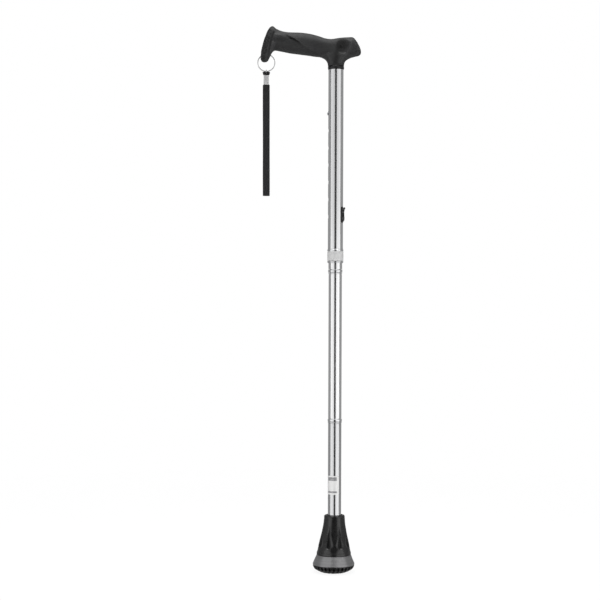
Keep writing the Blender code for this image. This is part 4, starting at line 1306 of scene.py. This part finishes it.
def make_tread(paint):
    """A domed rubber sole, with two rows of lugs round a flat pad of small studs."""
    socket, shoulder = 0.0180, 0.0303
    profile = [(0.0, 0.0141), (socket, 0.0141), (socket, 0.0107)]
    profile += [(shoulder - 0.0005, 0.0107), (shoulder, SHOULDER_Z)]
    profile += [(p.x, p.z) for p in dense([(r, 0.0, z) for r, z in SOLE], 0.00035)]
    pad_r = SOLE[-1][0]
    profile += [(pad_r - 0.0005 * i, 0.0) for i in range(1, 35)] + [(0.0, 0.0)]
    mesh = turned("sole_tread", profile, closed=False, steps=360, shape=lugged, angle=45)
    piece("sole_tread", leaned(mesh), paint, "black_rubber", "lower_section", "foot_tread")


# ---------------------------------------------------------------- ring, tab, ferrule and label


def make_split_ring(paint):
    """Two turns of wire, side by side, with a short cross-over and cut ends."""
    wire, turns, steps = 0.00062, 2.0, 240
    centre = (RING_LOW + RING_HIGH) / 2
    radius = (RING_HIGH.z - RING_LOW.z) / 2 - wire - 0.0004
    rings = []
    for i in range(steps + 1):
        t = turns * i / steps
        a = radians(205) + 2 * pi * t
        side = -1 + 2 * step_between(0.90, 1.10, t)
        outward, across = Vector((cos(a), 0, sin(a))), Vector((0, 1, 0))
        here = centre + outward * radius
        here.y = side * wire * 1.02
        thick = wire * (0.80 if i in (0, steps) else 1.0)
        rings.append([here + (outward * cos(b) + across * sin(b)) * thick for b in circle(16)])
    mesh = skin("key_ring", rings, caps=True, angle=50)
    piece("key_ring", mesh, paint, "chrome", "split_ring_body", "split_ring")


def soft_box(name, x, y, half, deep, low, high, taper, radius, segments=4):
    """A block on the line (x, y) from low to high. Its bottom is taper times as wide."""
    bm = bmesh.new()
    bmesh.ops.create_cube(bm, size=2.0)
    for vert in bm.verts:
        scale = taper if vert.co.z < 0 else 1.0
        z = high if vert.co.z > 0 else low
        vert.co = (x + vert.co.x * scale * half, y + vert.co.y * scale * deep, z)
    bmesh.ops.bevel(
        bm,
        geom=list(bm.edges),
        offset=radius,
        segments=segments,
        profile=0.5,
        affect="EDGES",
        clamp_overlap=True,
    )
    return cleaned(name, bm, 50)


def make_tab_and_ferrule(plastic, metal, plated):
    body = "wrist_strap_body"
    low, eye_high = span("strap_tab", 2)
    high = eye_high - 0.0028
    tab = soft_box("ring_tab", RING_X, 0, 0.0058, 0.0026, low, high, 0.76, 0.0011)
    eye = soft_box("eye", RING_X, 0, 0.0008, 0.0024, high - 0.0022, eye_high, 1.0, 0.0005)
    z = joint_anchor("strap_swing").z
    ends = (RING_X - 0.008, 0, z), (RING_X + 0.008, 0, z)
    tab = carved("ring_tab", tab, [rod("saddle", 0.0020, *ends, 32)])
    eye = carved("ring_eye", eye, [rod("bore", 0.0014, *ends, 32)])
    piece("ring_tab", tab, plastic, "black_plastic", body, "strap_tab")
    piece("ring_eye", eye, plated, "chrome", body, "strap_tab")

    low, high = span("strap_ferrule", 2)
    half, deep, middle = 0.0038, 0.0024, (low + high) / 2
    mesh = soft_box("crimp_ferrule", RING_X, 0, half, deep, low + 0.0004, high, 1.04, 0.0010)
    bands = [
        soft_box("band", RING_X, 0, half * wide, deep * wide + 0.0001, z, z + tall, 1.0, 0.0005)
        for wide, z, tall in ((1.05, high - 0.0018, 0.0018), (1.09, low, 0.0022))
    ]
    dimples = [
        rod("dimple", 0.0013, (RING_X, y, middle), (RING_X, y * 1.4, middle), 24, 0.0015)
        for y in (-deep, deep)
    ]
    crimps = [
        rod("crimp", 0.00045, (x, y, low + 0.0030), (x, y, high - 0.0024), 12)
        for x in (RING_X - 0.0023, RING_X + 0.0023)
        for y in (-deep, deep)
    ]
    mesh = carved("crimp_ferrule", mesh, bands, "UNION")
    for tools in (dimples, crimps):
        mesh = carved("crimp_ferrule", mesh, tools)
    return piece("crimp_ferrule", mesh, metal, "steel", body, "strap_ferrule")


def make_stitching(thread):
    """Two bars of small stitches that close the webbing just below the ferrule."""
    stitches = []
    for side in (-1, 1):
        y = side * (0.0013 + STRAP_THICKNESS / 2 + 0.0002)
        for z in [STRAP_TOP_Z - 0.0040 - 0.0022 * row for row in range(3)]:
            for i in range(7):
                x, low = RING_X - 0.0036 + 0.0012 * i, z - 0.0001 + 0.00018 * (i % 2)
                high = low + 0.00032
                stitches.append(
                    soft_box("stitch", x, y, 0.00042, 0.0002, low, high, 1.0, 0.00012, 2)
                )
    mesh = joined("bar_stitching", stitches, 50)
    piece("bar_stitching", mesh, thread, "webbing", "wrist_strap_body")


LABEL_LOW, LABEL_HIGH = 0.1144, 0.1419
LABEL_START, LABEL_END = radians(-178), radians(-52)
LABEL_CORNER = 0.0022
LABEL_MARGIN = 0.0030
# Shares of the label's height that its two bands take up
LABEL_BANDS = ((0.745, 0.93), (0.09, 0.18))


def make_label(paint):
    radius, columns, rows = TUBE_R + 0.00010, 44, 40
    width = (LABEL_END - LABEL_START) * radius
    rings, bands = [], []
    for j in range(rows + 1):
        share = j / rows
        z = LABEL_LOW + (LABEL_HIGH - LABEL_LOW) * share
        inset = 0.0
        edge = min(z - LABEL_LOW, LABEL_HIGH - z)
        if edge < LABEL_CORNER:
            inset = LABEL_CORNER - sqrt(LABEL_CORNER**2 - (LABEL_CORNER - edge) ** 2)
        in_band = any(low < share < high for low, high in LABEL_BANDS)
        ring = []
        for i in range(columns + 1):
            s = inset + (width - 2 * inset) * i / columns
            a = LABEL_START + s / radius
            ring.append((radius * cos(a), radius * sin(a), z))
            bands.append(float(in_band and min(s, width - s) > LABEL_MARGIN))
        rings.append(ring)
    bm = bmesh.new()
    laid(bm, rings, around=False)
    mesh = bpy.data.meshes.new("blank_label")
    bm.to_mesh(mesh)
    bm.free()
    obj = placed("label_base", smooth(with_values(mesh, "band", bands)))
    thick = obj.modifiers.new("thick", "SOLIDIFY")
    thick.thickness = 0.00008
    thick.offset = 1.0
    piece("blank_label", applied(obj), paint, "grey_rubber", "lower_section")


# ---------------------------------------------------------------- assembly

add_camera()
add_studio()

soft_paint = soft_touch()
plastic_paint = plain(
    "moulded_black_plastic",
    (0.007, 0.007, 0.008),
    (0.014, 0.014, 0.015),
    (160, 3),
    (420, 0.28, 0.42),
    (3200, 2, 0.00003, 0.5),
    IOR=1.49,
)
rubber_paint = rubber()
tube_paint = drawn_metal("anodised_tube", (0.90, 0.905, 0.915), 0.13, 0.21)
middle_paint = drawn_metal("anodised_middle_tube", (0.96, 0.963, 0.97), 0.13, 0.21)
lower_paint = drawn_metal("anodised_lower_tube", (0.79, 0.795, 0.805), 0.14, 0.22)
bead_paint = drawn_metal("polished_aluminium", (0.90, 0.905, 0.915), 0.10, 0.17, 0.000005)
frosted_paint = blasted_metal("blasted_aluminium", (0.93, 0.93, 0.93), 0.55, 0.68, 0.30)
steel_paint = drawn_metal("plain_steel", (0.60, 0.61, 0.63), 0.24, 0.36)
ferrule_paint = blasted_metal("plated_ferrule", (0.88, 0.88, 0.885), 0.28, 0.38, 0.35)
chrome_paint = drawn_metal("plated_wire", (0.93, 0.935, 0.94), 0.26, 0.36, 0.000003)
ring_paint = satin_ring()
nylon_paint = plain(
    "pale_nylon",
    (0.66, 0.66, 0.62),
    (0.76, 0.76, 0.73),
    (300, 4),
    (900, 0.42, 0.56),
    (2600, 3, 0.00005, 0.5),
)
elastic_paint = braid()
webbing_paint = webbing()
thread_paint = plain(
    "black_thread",
    (0.012, 0.012, 0.013),
    (0.030, 0.030, 0.032),
    (900, 4),
    (2700, 0.60, 0.80),
    (5200, 3, 0.00005, 0.5),
)
label_paint = sticker()

strap, strap_line = make_strap(webbing_paint)
ferrule = make_tab_and_ferrule(plastic_paint, ferrule_paint, chrome_paint)
make_stitching(thread_paint)

make_handle(soft_paint)
make_handle_collar(plastic_paint)
make_outer_tube(tube_paint)
make_height_tube(middle_paint)
make_plain_tubes(middle_paint, lower_paint)
make_collar(bead_paint, frosted_paint)
make_latch(plastic_paint)
make_snap_button(steel_paint)
for fold in FOLDS:
    make_fold_joint(bead_paint, *fold)
for fold in FOLDS:
    make_cord_bridge(elastic_paint, *fold)
make_boot(rubber_paint)
make_foot_ring(ring_paint)
make_tread(rubber_paint)
make_split_ring(chrome_paint)
make_label(label_paint)

for paint, nodes in (
    (plastic_paint, ("handle_spigot",)),
    (steel_paint, ("handle_screw", "latch_pin", "latch_spring", "button_spring", "foot_washer")),
    (nylon_paint, ("collet", "glide_cap", "upper_cord_anchor", "lower_cord_anchor")),
    (elastic_paint, ("upper_cord", "middle_cord", "lower_cord")),
):
    for node in nodes:
        for slot in frame["nodes"][node].material_slots:
            slot.material = paint
